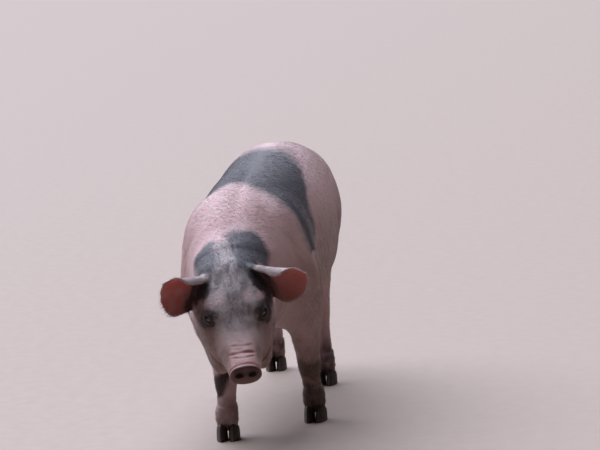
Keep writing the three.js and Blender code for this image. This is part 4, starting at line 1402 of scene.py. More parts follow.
@dataclass(frozen=True)
class Markings:
    """Where the skin is dark, grey, red, pale and soiled, and where shade and a sheen are painted onto it."""

    left_edge: Table = field(default_factory=lambda: Table(LEFT_EDGE))
    right_edge: Table = field(default_factory=lambda: Table(RIGHT_EDGE))
    patches: tuple[Patch, ...] = (
        Patch((8, -359, 330), (39, 41, 38), slate=1.0),
        Patch((7, -398, 318), (28, 44, 31), slate=0.75),
        Patch((-58, -376, 326), (24, 32, 28), slate=0.9),
        Patch((-52, -408, 310), (20, 36, 26), slate=0.7),
        Patch((-20, -392, 330), (30, 40, 22), slate=1.0),
        Patch((21, -264, 387), (6, 4, 4), slate=0.6, strength=0.6),
        Patch((50, -62, -2), (25, 26, 30), on_head=True, slate=0.1),
        Patch((43, -60, 11), (16, 20, 18), on_head=True, slate=0.12),
        Patch((56, -34, -10), (12, 18, 16), on_head=True, slate=0.2, strength=0.8),
        Patch((-47, -62, -4), (22, 26, 30), on_head=True, slate=0.12),
        Patch((-42, -40, 10), (11, 20, 14), on_head=True, slate=0.3, strength=0.8),
        Patch((-26, -43, 22), (9, 9, 9), on_head=True, slate=0.5, strength=0.5),
        Patch((12, -42, 24), (12, 8, 8), on_head=True, slate=0.5, strength=0.35),
        Patch((-54, -16, -12), (9, 34, 16), on_head=True, slate=0.35, strength=0.6),
        Patch((-41, 4, 4), (15, 17, 16), on_head=True),
        Patch((-48, -4, -4), (13, 17, 15), on_head=True, slate=0.2, strength=0.85),
        Patch((40, 1, 4), (18, 20, 18), on_head=True),
        Patch((51, -3, -4), (20, 21, 20), on_head=True),
        Patch((50, 42, -14), (7, 8, 7), on_head=True, slate=0.4, strength=0.5),
    )
    saddle_blur: float = 34.0
    saddle_slate: float = 0.80
    body_blur: float = 15.0
    head_blur: float = 6.5

    def at(self, places: Places, noise: Lattice) -> dict[str, Array]:
        """Shares of each kind of colour at points on the skin.

        Args:
            places: The points.
            noise: Random values over space.

        Returns:
            Values from 0 to 1 by name.
        """
        m, warp = self.measured(places, noise)
        marks = {name: np.zeros(len(places.p)) for name in MARKS}
        self.mark_saddle(marks, places, m, warp)
        self.mark_forehead(marks, m)
        self.mark_stockings(marks, places, m, warp)
        caked = (0.85 + 0.3 * noise.at(places.p, 9.0)) * (1.0 - 0.5 * places.weights[Part.FORE_RIGHT])
        marks["mud"] = m["legs"] * ease(86.0, 50.0, m["z"] + warp[:, 2] * 2.0) * caked
        marks["blush"] = summed(BLUSH, m)
        self.mark_snout(marks, places, m)
        self.mark_ears(marks, places, noise)
        marks["blush"] = marks["blush"] + 0.2 * places.weights[Part.TAIL]
        dark = np.clip(marks["dark"], 0.0, 1.0)
        # Grime together with painted shade, kept off the black of the head.
        marks["soil"] = summed(SOIL_AND_SHADE, m) * (1.0 - 0.8 * dark * m["head"])
        return {name: np.clip(values, 0.0, 1.0) for name, values in marks.items()}

    @staticmethod
    def measured(places: Places, noise: Lattice) -> tuple[Measures, Array]:
        """What the colours ask about points.

        Args:
            places: The points.
            noise: Random values over space.

        Returns:
            Measures by name, and how far the pattern is pushed at each point.
        """
        p, weights, head = places.p, places.weights, places.form.head
        x, y, z = p.T
        a, t, crown = places.head.T
        pushes = [[amount * noise.at(p + shift * k, size) for shift, size, amount in WARP] for k in range(3)]
        warp = np.stack([sum(push) for push in pushes], axis=1)
        legs = np.clip(sum(weights[part] for part in LEGS), 0.0, 1.0) * ease(250.0, 215.0, z)
        on_head, wide, blotch = weights[Part.HEAD], np.abs(a), noise.at(p + warp, 11.0)
        folds = ease(0.3, 1.8, head.creases(places.head)) * on_head * ease(50.0, 70.0, t)
        m = {
            "x": x, "y": y, "z": z, "side": a, "wide": wide, "t": t, "crown": crown, "head": on_head,
            "off_head": 1.0 - on_head, "poll": np.maximum(on_head, ease(-330.0, -360.0, y)), "legs": legs,
            "trunk": (1.0 - legs) * (1.0 - on_head),
            "streaks": noise.at(np.stack([a * 2.2, t * 0.7, crown], axis=1), 9.0), "blotch": blotch,
            "broad": noise.at(p, 55.0), "fine": noise.at(p, 19.0), "clumps": noise.at(p, 14.0),
            "rough_rim": 0.6 * noise.at(p, 5.0), "folds": folds, "unfolded": 1.0 - 0.6 * folds,
            "spot": np.hypot((wide - 22.0) / 9.0, (t + 18.0) / 12.0),
            "aside": np.maximum(ease(8.0, -16.0, crown), ease(17.0, 25.0, wide + 2.0 * noise.at(p, 12.0))),
            # arm: distance from the middle of the painted shade on the right arm's front.
            "arm": np.hypot((y + 274.0) / 34.0, (z - 224.0) / 40.0) * (1.0 + 0.2 * blotch),
            "mouth": crown - head.mouth_height(t),
            # Grime on the legs, with painted shade added on the left fore leg.
            "leg_dirt_and_shade": 0.26 * legs + 0.83 * weights[Part.FORE_LEFT] - 0.26 * weights[Part.HIND_LEFT],
        }  # fmt: skip
        return m, warp

    def mark_saddle(self, marks: Measures, places: Places, m: Measures, warp: Array) -> None:
        """Lays the saddle over the back, then the rounded patches.

        Args:
            marks: Shares of colour, changed in place.
            places: The points.
            m: Measures by name.
            warp: How far the pattern is pushed.
        """
        z = m["z"]
        level, run = z + 0.35 * warp[:, 2], m["y"] + warp[:, 1]
        before = 1.0 - 0.45 * ease(385.0, 430.0, z)
        behind = 1.0 - 0.68 * ease(395.0, 440.0, z)
        left, right = (
            np.minimum((run - edge.at(level, 1)) * before, (edge.at(level, 2) - run) * behind)
            for edge in (self.left_edge, self.right_edge)
        )
        across = ease(-40.0, 20.0, m["x"])
        saddle = left * across + right * (1.0 - across)
        saddle = np.where(places.weights[Part.TRUNK] > 0.2, saddle, -self.saddle_blur)
        dark = np.clip(0.5 + saddle / self.saddle_blur, 0.0, 1.0)
        slate = np.full(len(z), self.saddle_slate)
        for patch in self.patches:
            soft, push = (self.head_blur, 1.15) if patch.on_head else (self.body_blur, 1.2)
            share = np.clip((patch.inside(places, warp * push) + soft) / (1.7 * soft), 0.0, 1.0)
            slate = slate * (1.0 - share) + patch.slate * share
            dark = np.maximum(dark, share * patch.strength)
        marks["dark"], marks["slate"] = dark, slate

    @staticmethod
    def mark_forehead(marks: Measures, m: Measures) -> None:
        """Streaks the forehead with grey and white, with a pale spot above each eye.

        Args:
            marks: Shares of colour, changed in place.
            m: Measures by name.
        """
        streaks, middle, grizzle, spots = m["streaks"], MIDDLE.at(m), GRIZZLE.at(m), SPOTS.at(m)
        blaze = ease(-0.55, 0.45, streaks + 0.8 * middle - 0.35) * middle
        dark = marks["dark"] * (1.0 - 0.72 * blaze)
        marks["ash"] = np.clip(grizzle * (0.85 + 0.4 * streaks) + middle, 0.0, 1.0) * (1.0 - 0.7 * spots)
        thick = 0.24 + 0.16 * ease(0.5, -0.4, streaks) + 0.26 * ease(-0.2, 0.6, m["blotch"])
        smoke = grizzle * thick * (1.0 - spots)
        marks["slate"] = np.where(dark > smoke, marks["slate"], 0.55)
        marks["dark"] = np.maximum(dark, smoke)

    @staticmethod
    def mark_stockings(marks: Measures, places: Places, m: Measures, warp: Array) -> None:
        """Puts a black band round each fore leg, on the right one only on its outer side.

        Args:
            marks: Shares of colour, changed in place.
            places: The points.
            m: Measures by name.
            warp: How far the pattern is pushed.
        """
        x, y, z = m["x"], m["y"], m["z"]
        for part, (low, high) in STOCKINGS.items():
            limb = places.form.limbs[part.value]
            height = z + warp[:, 2] * 1.8 + 0.3 * (np.abs(x) - limb.foot[0])
            ring = ease(low - 5.0, low + 6.0, height) * ease(high + 9.0, high - 7.0, height)
            share = ring * places.weights[part]
            if part is Part.FORE_RIGHT:
                cx, cy = limb.centre_at(z)
                share = share * ease(20.0, -6.0, y - cy + 1.4 * warp[:, 1] + 0.4 * np.abs(z - 97.0))
                share = share * ease(12.0, -6.0, x - cx + 0.45 * (88.0 - z))
            marks["slate"] = marks["slate"] * (1.0 - share)
            marks["dark"] = np.maximum(marks["dark"], share * 0.92)

    @staticmethod
    def mark_snout(marks: Measures, places: Places, m: Measures) -> None:
        """Darkens the snout's disc and paints shade into the nostrils, the mouth's line and the disc's top.

        Args:
            marks: Shares of colour, changed in place.
            places: The points.
            m: Measures by name.
        """
        crest = 3.2 * ease(8.0, 16.0, m["crown"])
        disc = ease(117.5, 120.5, m["t"] + crest + m["rough_rim"]) * m["head"]
        nostril = places.form.head.nostril
        nostril_shade = sum(ease(2.0, 0.4, nostril.distance(places.head, side)) for side in (1, -1)) * m["head"]
        shaded = 0.62 * disc * ease(-9.0, 2.0, m["crown"] + 3.0 * m["blotch"])
        marks["wet"], marks["lip"] = disc, MOUTH_SHADE.at(m) + nostril_shade + shaded

    @staticmethod
    def mark_ears(marks: Measures, places: Places, noise: Lattice) -> None:
        """Reddens the cups of the ears, with a black root, and pales their backs.

        Args:
            marks: Shares of colour, changed in place.
            places: The points.
            noise: Random values over space.
        """
        p = places.p
        mottle, ragged = 0.9 + 0.22 * noise.at(p, 13.0), 5.0 * noise.at(p, 10.0) + 2.0 * noise.at(p, 4.0)
        for part, name in EARS.items():
            along, run, off, share = places.form.ears[name].sheet(p)
            weight = places.weights[part] * ease(-4.0, 12.0, along)
            front = ease(0.4, -0.6, off) * weight * ease(1.02, 0.88, share)
            back = ease(-0.2, 0.6, off)
            root = ease(37.0, 7.0, along + 0.25 * run + ragged) * ease(0.5, -0.3, off) * weight
            marks["inner"] = np.maximum(marks["inner"], front * mottle)
            dark = marks["dark"] * (1.0 - weight) + weight * root
            marks["dark"] = np.maximum(dark, 0.34 * back * weight * ease(74.0, 20.0, along))
            marks["slate"] = marks["slate"] * (1.0 - weight) + weight * (0.08 + 0.75 * back)
            marks["ash"] = np.maximum(marks["ash"], 0.8 * back * weight)
            marks["blush"] = np.maximum(marks["blush"], 0.5 * back * weight * ease(50.0, 88.0, along))


# Meshes and materials


def make_mesh(name: str, points: Array, faces: Sequence[Array], smooth: bool = True) -> bpy.types.Object:
    """Makes a mesh object from points in metres.

    Args:
        name: Name of the object.
        points: Points.
        faces: Arrays of faces, each with one number of corners.
        smooth: Whether the faces are shaded smooth.

    Returns:
        The object, linked into the scene.
    """
    mesh = bpy.data.meshes.new(name)
    loops = np.concatenate([block.ravel() for block in faces])
    sizes = np.concatenate([np.full(len(block), block.shape[1]) for block in faces])
    mesh.vertices.add(len(points))
    mesh.vertices.foreach_set("co", points.astype(np.float32).ravel())
    mesh.loops.add(len(loops))
    mesh.loops.foreach_set("vertex_index", loops.astype(np.int32))
    mesh.polygons.add(len(sizes))
    mesh.polygons.foreach_set("loop_start", np.concatenate([[0], np.cumsum(sizes)[:-1]]).astype(np.int32))
    mesh.polygons.foreach_set("use_smooth", np.full(len(sizes), smooth))
    mesh.update(calc_edges=True)
    thing = bpy.data.objects.new(name, mesh)
    bpy.context.scene.collection.objects.link(thing)
    return thing


def add_values(thing: bpy.types.Object, values: dict[str, Array]) -> None:
    """Stores one value for each point of a mesh under each name.

    Args:
        thing: The object.
        values: Numbers by name, one for each point.
    """
    for name, numbers in values.items():
        layer = thing.data.attributes.new(name, "FLOAT", "POINT")
        layer.data.foreach_set("value", numbers.astype(np.float32))


def to_frame(points: Array) -> Array:
    """Body millimetres as metres in the frame of the solids."""
    return (points + SHIFT) * MM


def finish_piece(thing: bpy.types.Object, material: bpy.types.Material) -> None:
    """Gives a piece its material and its slot, and lets it ride on the body.

    Args:
        thing: The object.
        material: Its finish.
    """
    thing.data.materials.append(material)
    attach(thing, "root")
    LOG.info("%s: %d faces", thing.name, len(thing.data.polygons))


class Graph:
    """Short ways to add nodes to one tree."""

    def __init__(self, tree: bpy.types.NodeTree) -> None:
        """Takes the tree that the nodes go to."""
        self.tree = tree

    def node(self, kind: str, inputs: dict | None = None, **settings: object) -> bpy.types.Node:
        """Adds a node.

        Args:
            kind: Type name of the node.
            inputs: Values or source sockets by input name or number.
            settings: Properties of the node.

        Returns:
            The new node.
        """
        made = self.tree.nodes.new(kind)
        for name, value in settings.items():
            setattr(made, name, value)
        for key, value in (inputs or {}).items():
            if isinstance(value, bpy.types.NodeSocket):
                self.tree.links.new(value, made.inputs[key])
            else:
                made.inputs[key].default_value = value
        return made

    def math(self, operation: str, a: object, b: object = 0.0, clamp: bool = False) -> Socket:
        """Result of one operation on two values."""
        return self.node("ShaderNodeMath", {0: a, 1: b}, operation=operation, use_clamp=clamp).outputs[0]

    def blend(self, share: object, a: object, b: object) -> Socket:
        """Colour a turned into colour b by a share."""
        return self.node("ShaderNodeMix", {0: share, 6: a, 7: b}, data_type="RGBA").outputs[2]

    def ramp(self, value: object, low: float, high: float, to_low: float = 0, to_high: float = 1) -> Socket:
        """Value mapped smoothly from one span to another."""
        inputs = {0: value, 1: low, 2: high, 3: to_low, 4: to_high}
        return self.node("ShaderNodeMapRange", inputs, interpolation_type="SMOOTHSTEP").outputs[0]

    def attribute(self, name: str) -> Socket:
        """Value stored on the mesh under a name."""
        return self.node("ShaderNodeAttribute", attribute_name=name).outputs["Fac"]

    def noise(self, vector: object, scale: float, detail: float = 3.0, rough: float = 0.55) -> Socket:
        """Noise over a vector."""
        inputs = {"Vector": vector, "Scale": scale, "Detail": detail, "Roughness": rough}
        return self.node("ShaderNodeTexNoise", inputs).outputs[0]

    def mixed(self, a: object, b: object, share: float) -> Socket:
        """Sum of two values, the first by a share and the second by the rest."""
        return self.math("ADD", self.math("MULTIPLY", a, share), self.math("MULTIPLY", b, 1.0 - share))

    def bump(self, height: object, strength: float, distance: float) -> Socket:
        """Normal that follows a height."""
        inputs = {"Strength": strength, "Distance": distance, "Height": height}
        return self.node("ShaderNodeBump", inputs).outputs[0]

    def scaled(self, hue: object, factor: object) -> Socket:
        """Colour made lighter or darker by a factor."""
        return self.node("ShaderNodeVectorMath", {0: hue, "Scale": factor}, operation="SCALE").outputs[0]

    def place(self) -> Socket:
        """Place on the object."""
        return self.node("ShaderNodeTexCoord").outputs["Object"]

    def marked(self, name: str, colours: "HideColours", grain: object) -> bpy.types.Node:
        """Places the group that turns the markings into a colour."""
        group = self.node("ShaderNodeGroup", node_tree=hide_group(name, colours))
        for mark, socket in {**{mark: self.attribute(mark) for mark in MARKS}, "Grain": grain}.items():
            self.tree.links.new(socket, group.inputs[mark])
        return group


def colour(red: float, green: float, blue: float) -> tuple[float, float, float, float]:
    """Linear colour as a shader takes it."""
    return red, green, blue, 1.0


@dataclass(frozen=True)
class HideColours:
    """Linear colours of skin or of hair over it."""

    pink: tuple = colour(0.60, 0.425, 0.43)
    rose: tuple = colour(0.45, 0.195, 0.185)
    ash: tuple = colour(0.40, 0.345, 0.345)
    black: tuple = colour(0.015, 0.010, 0.011)
    slate: tuple = colour(0.078, 0.075, 0.088)
    # Brown of grime, used also for painted shade.
    soil: tuple = colour(0.16, 0.10, 0.075)
    inner: tuple = colour(0.53, 0.125, 0.105)
    disc: tuple = colour(0.062, 0.012, 0.010)
    # Near-black of the painted shade in the nostrils, along the mouth and over the snout disc's upper part.
    lip: tuple = colour(0.022, 0.008, 0.007)
    mud: tuple = colour(0.050, 0.032, 0.026)


SKIN_COLOURS = HideColours()
HAIR_COLOURS = HideColours(
    pink=colour(0.69, 0.555, 0.555),
    rose=colour(0.58, 0.40, 0.38),
    ash=colour(0.52, 0.47, 0.475),
    black=colour(0.016, 0.011, 0.012),
    slate=colour(0.112, 0.112, 0.134),
    soil=colour(0.22, 0.15, 0.11),
    inner=colour(0.50, 0.22, 0.18),
    disc=colour(0.24, 0.09, 0.07),
    lip=colour(0.16, 0.09, 0.08),
    mud=colour(0.065, 0.043, 0.035),
)


def hide_group(name: str, colours: HideColours) -> bpy.types.NodeTree:
    """Node group that turns the markings into a colour.

    Args:
        name: Name of the group.
        colours: Colours of each kind of hide.

    Returns:
        The group; it puts out Color and Shine, a mask of the moist skin.
    """
    tree = bpy.data.node_groups.new(name, "ShaderNodeTree")
    g = Graph(tree)
    for mark in ("Grain", *MARKS):
        tree.interface.new_socket(mark, in_out="INPUT", socket_type="NodeSocketFloat")
    tree.interface.new_socket("Color", in_out="OUTPUT", socket_type="NodeSocketColor")
    tree.interface.new_socket("Shine", in_out="OUTPUT", socket_type="NodeSocketFloat")
    source = g.node("NodeGroupInput").outputs
    grain = source["Grain"]
    uneven = g.math("SUBTRACT", grain, 0.5)
    blush = g.math("ADD", source["blush"], g.math("MULTIPLY", uneven, 0.5), clamp=True)
    bare = g.blend(blush, colours.pink, colours.rose)
    bare = g.blend(source["ash"], bare, colours.ash)
    pigment = g.blend(source["slate"], colours.black, colours.slate)
    edge = g.math("ADD", source["dark"], g.math("MULTIPLY", uneven, 0.55))
    cover = g.math("MULTIPLY", g.math("SUBTRACT", edge, 0.20), 1.65, clamp=True)
    hue = g.blend(cover, bare, pigment)
    flesh = g.math("MULTIPLY", source["inner"], g.math("SUBTRACT", 1.0, g.math("MULTIPLY", cover, 0.9)))
    hue = g.blend(flesh, hue, colours.inner)
    hue = g.blend(source["wet"], hue, colours.disc)
    # Painted shade in the nostrils, along the mouth and over the disc's upper part.
    hue = g.blend(source["lip"], hue, colours.lip)
    # Grime and painted shade, in one brown.
    dirt_and_shade = g.math("MULTIPLY", source["soil"], g.ramp(grain, 0.15, 0.75, 0.45, 1.0), clamp=True)
    hue = g.blend(dirt_and_shade, hue, colours.soil)
    hue = g.blend(g.math("MULTIPLY", source["mud"], g.ramp(grain, 0.2, 0.6, 0.7, 1.0)), hue, colours.mud)
    shade = g.ramp(grain, 0.0, 1.0, 0.88, 1.12)
    g.node("NodeGroupOutput", {"Color": g.scaled(hue, shade), "Shine": source["wet"]})
    return tree


@dataclass(frozen=True)
class Finish:
    """A material with one shader whose inputs are made of nodes."""

    name: str

    def make(self) -> bpy.types.Material:
        """Builds the material.

        Returns:
            The material.
        """
        material = bpy.data.materials.new(self.name)
        material.use_nodes = True
        material.node_tree.nodes.clear()
        g = Graph(material.node_tree)
        shader = g.node("ShaderNodeBsdfPrincipled", self.inputs(g))
        g.node("ShaderNodeOutputMaterial", {"Surface": shader.outputs[0]})
        return material

    def inputs(self, g: Graph) -> dict[str, object]:
        """Inputs of the shader by name."""
        raise NotImplementedError


@dataclass(frozen=True)
class HideFinish(Finish):
    """Skin: pores, short flat hair as fine ridges, and a soft silver bloom."""

    name: str = "pig_hide"
    pore_scale: float = 900.0
    mottle_scale: float = 90.0
    bump: float = 0.00045
    roughness: tuple[float, float] = (0.50, 0.66)
    sheen: float = 0.12
    sheen_tint: tuple = colour(0.86, 0.86, 0.95)
    specular: float = 0.24

    def inputs(self, g: Graph) -> dict[str, object]:
        """Inputs of the shader: strands along the lie of the hair over pores and mottling.

        Args:
            g: Tree that the nodes go to.

        Returns:
            Values and sockets by name.
        """
        along_hair = {axis: g.attribute(f"lane_{axis}") for axis in range(3)}
        lanes = g.node("ShaderNodeCombineXYZ", along_hair).outputs[0]
        place, strands = g.place(), g.noise(lanes, 1.0, 4.0, 0.6)
        pores, mottle = g.noise(place, self.pore_scale), g.noise(place, self.mottle_scale, 4.0)
        group = g.marked("skin_colours", SKIN_COLOURS, g.mixed(strands, mottle, 0.5))
        dry = g.ramp(mottle, 0.2, 0.8, *self.roughness)
        return {
            "Base Color": group.outputs["Color"],
            "Roughness": g.math("SUBTRACT", dry, g.math("MULTIPLY", group.outputs["Shine"], 0.10)),
            "Normal": g.bump(g.mixed(strands, pores, 0.75), 0.6, self.bump),
            "Sheen Weight": self.sheen,
            "Sheen Roughness": 0.45,
            "Sheen Tint": self.sheen_tint,
            "Specular IOR Level": self.specular,
        }


@dataclass(frozen=True)
class HairFinish(Finish):
    """Bristles: coloured as the skin at their roots, a little lighter to their tips."""

    name: str = "pig_bristles"
    fine_scale: float = 1500.0
    bump: float = 0.0002
    lightness: tuple[float, float] = (0.86, 1.14)
    roughness: tuple[float, float] = (0.52, 0.44)
    sheen: float = 0.12
    sheen_tint: tuple = colour(0.86, 0.86, 0.95)
    specular: float = 0.28

    def inputs(self, g: Graph) -> dict[str, object]:
        """Inputs of the shader: each tuft a little lighter or darker by chance.

        Args:
            g: Tree that the nodes go to.

        Returns:
            Values and sockets by name.
        """
        group = g.marked("hair_colours", HAIR_COLOURS, g.attribute("chance"))
        fine, tip = g.noise(g.place(), self.fine_scale, 2.0), g.attribute("tip")
        smooth = g.ramp(tip, 0.0, 1.0, *self.roughness)
        return {
            "Base Color": g.scaled(group.outputs["Color"], g.ramp(tip, 0.0, 1.0, *self.lightness)),
            "Roughness": g.math("ADD", smooth, g.math("MULTIPLY", fine, 0.08)),
            "Normal": g.bump(fine, 0.3, self.bump),
            "Sheen Weight": self.sheen,
            "Sheen Tint": self.sheen_tint,
            "Specular IOR Level": self.specular,
        }


@dataclass(frozen=True)
class ClawFinish(Finish):
    """Horn: dark grey-brown with growth lines, dusty and pale at the worn edge."""

    name: str = "claw_horn"
    horn: tuple[tuple, tuple] = (colour(0.026, 0.016, 0.013), colour(0.060, 0.039, 0.032))
    dust: tuple = colour(0.15, 0.11, 0.085)
    dust_height: float = 0.016
    growth_scale: float = 95.0
    grain_scale: float = 420.0
    bump: float = 0.0004
    roughness: tuple[float, float] = (0.42, 0.68)

    def inputs(self, g: Graph) -> dict[str, object]:
        """Inputs of the shader: growth lines over grain, with dust near the floor.

        Args:
            g: Tree that the nodes go to.

        Returns:
            Values and sockets by name.
        """
        place = g.place()
        height = g.node("ShaderNodeSeparateXYZ", {0: place}).outputs[2]
        waves = {"Vector": place, "Scale": self.growth_scale, "Distortion": 5.0, "Detail": 3.0}
        wave = g.node("ShaderNodeTexWave", waves, bands_direction="Z").outputs["Fac"]
        grain = g.noise(place, self.grain_scale, 4.0)
        low = g.ramp(height, self.dust_height, 0.0, 0.0, 0.8)
        dusty = g.math("MULTIPLY", low, g.ramp(grain, 0.35, 0.65), clamp=True)
        return {
            "Base Color": g.blend(dusty, g.blend(g.ramp(grain, 0.3, 0.7), *self.horn), self.dust),
            "Roughness": g.ramp(grain, 0.2, 0.8, *self.roughness),
            "Normal": g.bump(g.math("ADD", g.math("MULTIPLY", wave, 0.5), grain), 0.5, self.bump),
        }


@dataclass(frozen=True)
class EyeFinish(Finish):
    """Eyeball: warm white, a dark brown iris with fine rays, a black pupil, all under a wet coat."""

    name: str = "pig_eye"
    pupil: tuple = colour(0.004, 0.003, 0.003)
    iris: tuple[tuple, tuple] = (colour(0.012, 0.006, 0.004), colour(0.050, 0.022, 0.011))
    white: tuple[tuple, tuple] = (colour(0.050, 0.030, 0.026), colour(0.035, 0.014, 0.012))
    pupil_edge: tuple[float, float] = (3.4, 2.8)
    iris_edge: tuple[float, float] = (6.9, 7.6)
    white_edge: tuple[float, float] = (7.4, 9.8)
    bump: float = 0.0001
    roughness: tuple[float, float] = (0.10, 0.16)

    def inputs(self, g: Graph) -> dict[str, object]:
        """Inputs of the shader: rings of colour round the pupil.

        Args:
            g: Tree that the nodes go to.

        Returns:
            Values and sockets by name.
        """
        radius, turn = g.attribute("from_pupil"), g.attribute("around_pupil")
        spokes = g.node("ShaderNodeCombineXYZ", {0: turn, 1: g.math("MULTIPLY", radius, 0.25)}).outputs[0]
        rays = g.noise(spokes, 5.0)
        white = g.blend(g.ramp(radius, *self.white_edge), *self.white)
        ring = g.blend(g.ramp(radius, *self.iris_edge), g.blend(rays, *self.iris), white)
        return {
            "Base Color": g.blend(g.ramp(radius, *self.pupil_edge), ring, self.pupil),
            "Roughness": g.ramp(rays, 0.0, 1.0, *self.roughness),
            "Normal": g.bump(rays, 0.1, self.bump),
            "Coat Weight": 1.0,
            "Coat Roughness": 0.03,
            "Specular IOR Level": 0.6,
        }


@dataclass(frozen=True)
class FloorFinish(Finish):
    """Pale, matt, faintly mottled floor."""

    name: str = "studio_floor"
    hue: tuple = colour(0.38, 0.305, 0.262)
    shade: float = 0.94
    grain_scale: float = 40.0
    bump: float = 0.001
    roughness: tuple[float, float] = (0.7, 0.85)

    def inputs(self, g: Graph) -> dict[str, object]:
        """Inputs of the shader: one hue with a soft grain.

        Args:
            g: Tree that the nodes go to.

        Returns:
            Values and sockets by name.
        """
        grain = g.noise(g.place(), self.grain_scale, 4.0)
        return {
            "Base Color": g.blend(grain, tuple(self.shade * c for c in self.hue), self.hue),
            "Roughness": g.ramp(grain, 0.2, 0.8, *self.roughness),
            "Normal": g.bump(grain, 0.1, self.bump),
        }


# The pieces


@dataclass
class Hide:
    """The skin as an object, with the markings and the lanes of hair stored on it."""

    skin: Skin
    markings: Markings
    noise: Lattice
    flesh: tuple[str, ...] = (
        "trunk", "neck", "head", "snout", "jaw", "ear_left", "ear_right", "tail",
        "fore_left_arm", "fore_right_arm", "hind_left_thigh", "hind_right_thigh",
        "fore_left_shank", "fore_right_shank", "hind_left_shank", "hind_right_shank",
    )  # fmt: skip
    lane_width: float = 1.3
    lane_length: float = 11.0
    part_gap: float = 7.0

    def make(self, material: bpy.types.Material) -> bpy.types.Object:
        """Builds the object in place of the nodes of flesh.

        Args:
            material: Finish of the skin.

        Returns:
            The object.
        """
        skin = self.skin
        places = Places(skin.form, skin.points, skin.normals)
        thing = make_mesh("skin", to_frame(skin.points), [skin.quads])
        add_values(thing, self.markings.at(places, self.noise))
        add_values(thing, self.lanes(places))
        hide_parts(*self.flesh)
        finish_piece(thing, material)
        return thing

    def lanes(self, places: Places) -> dict[str, Array]:
        """Coordinates that run slowly along the lie of the hair and fast across it.

        Args:
            places: Points on the skin.

        Returns:
            Coordinates by name.
        """
        flat = np.zeros((len(places.p), 2))
        for part in Part:
            mask = places.of(part)
            flat[mask] = places.chart(part)[mask]
        along, across = flat.T
        trunk = places.of(Part.TRUNK)
        slow = np.where(trunk, across, along)
        fast = np.where(trunk, along + 0.25 * np.abs(across), across)
        lanes = (slow / self.lane_length, fast / self.lane_width, places.owner * self.part_gap)
        return {f"lane_{axis}": values for axis, values in enumerate(lanes)}


@dataclass(frozen=True)
class Growth:
    """How the bristles of one part grow, in millimetres."""

    density: float
    length: float
    width: float
    lift: float


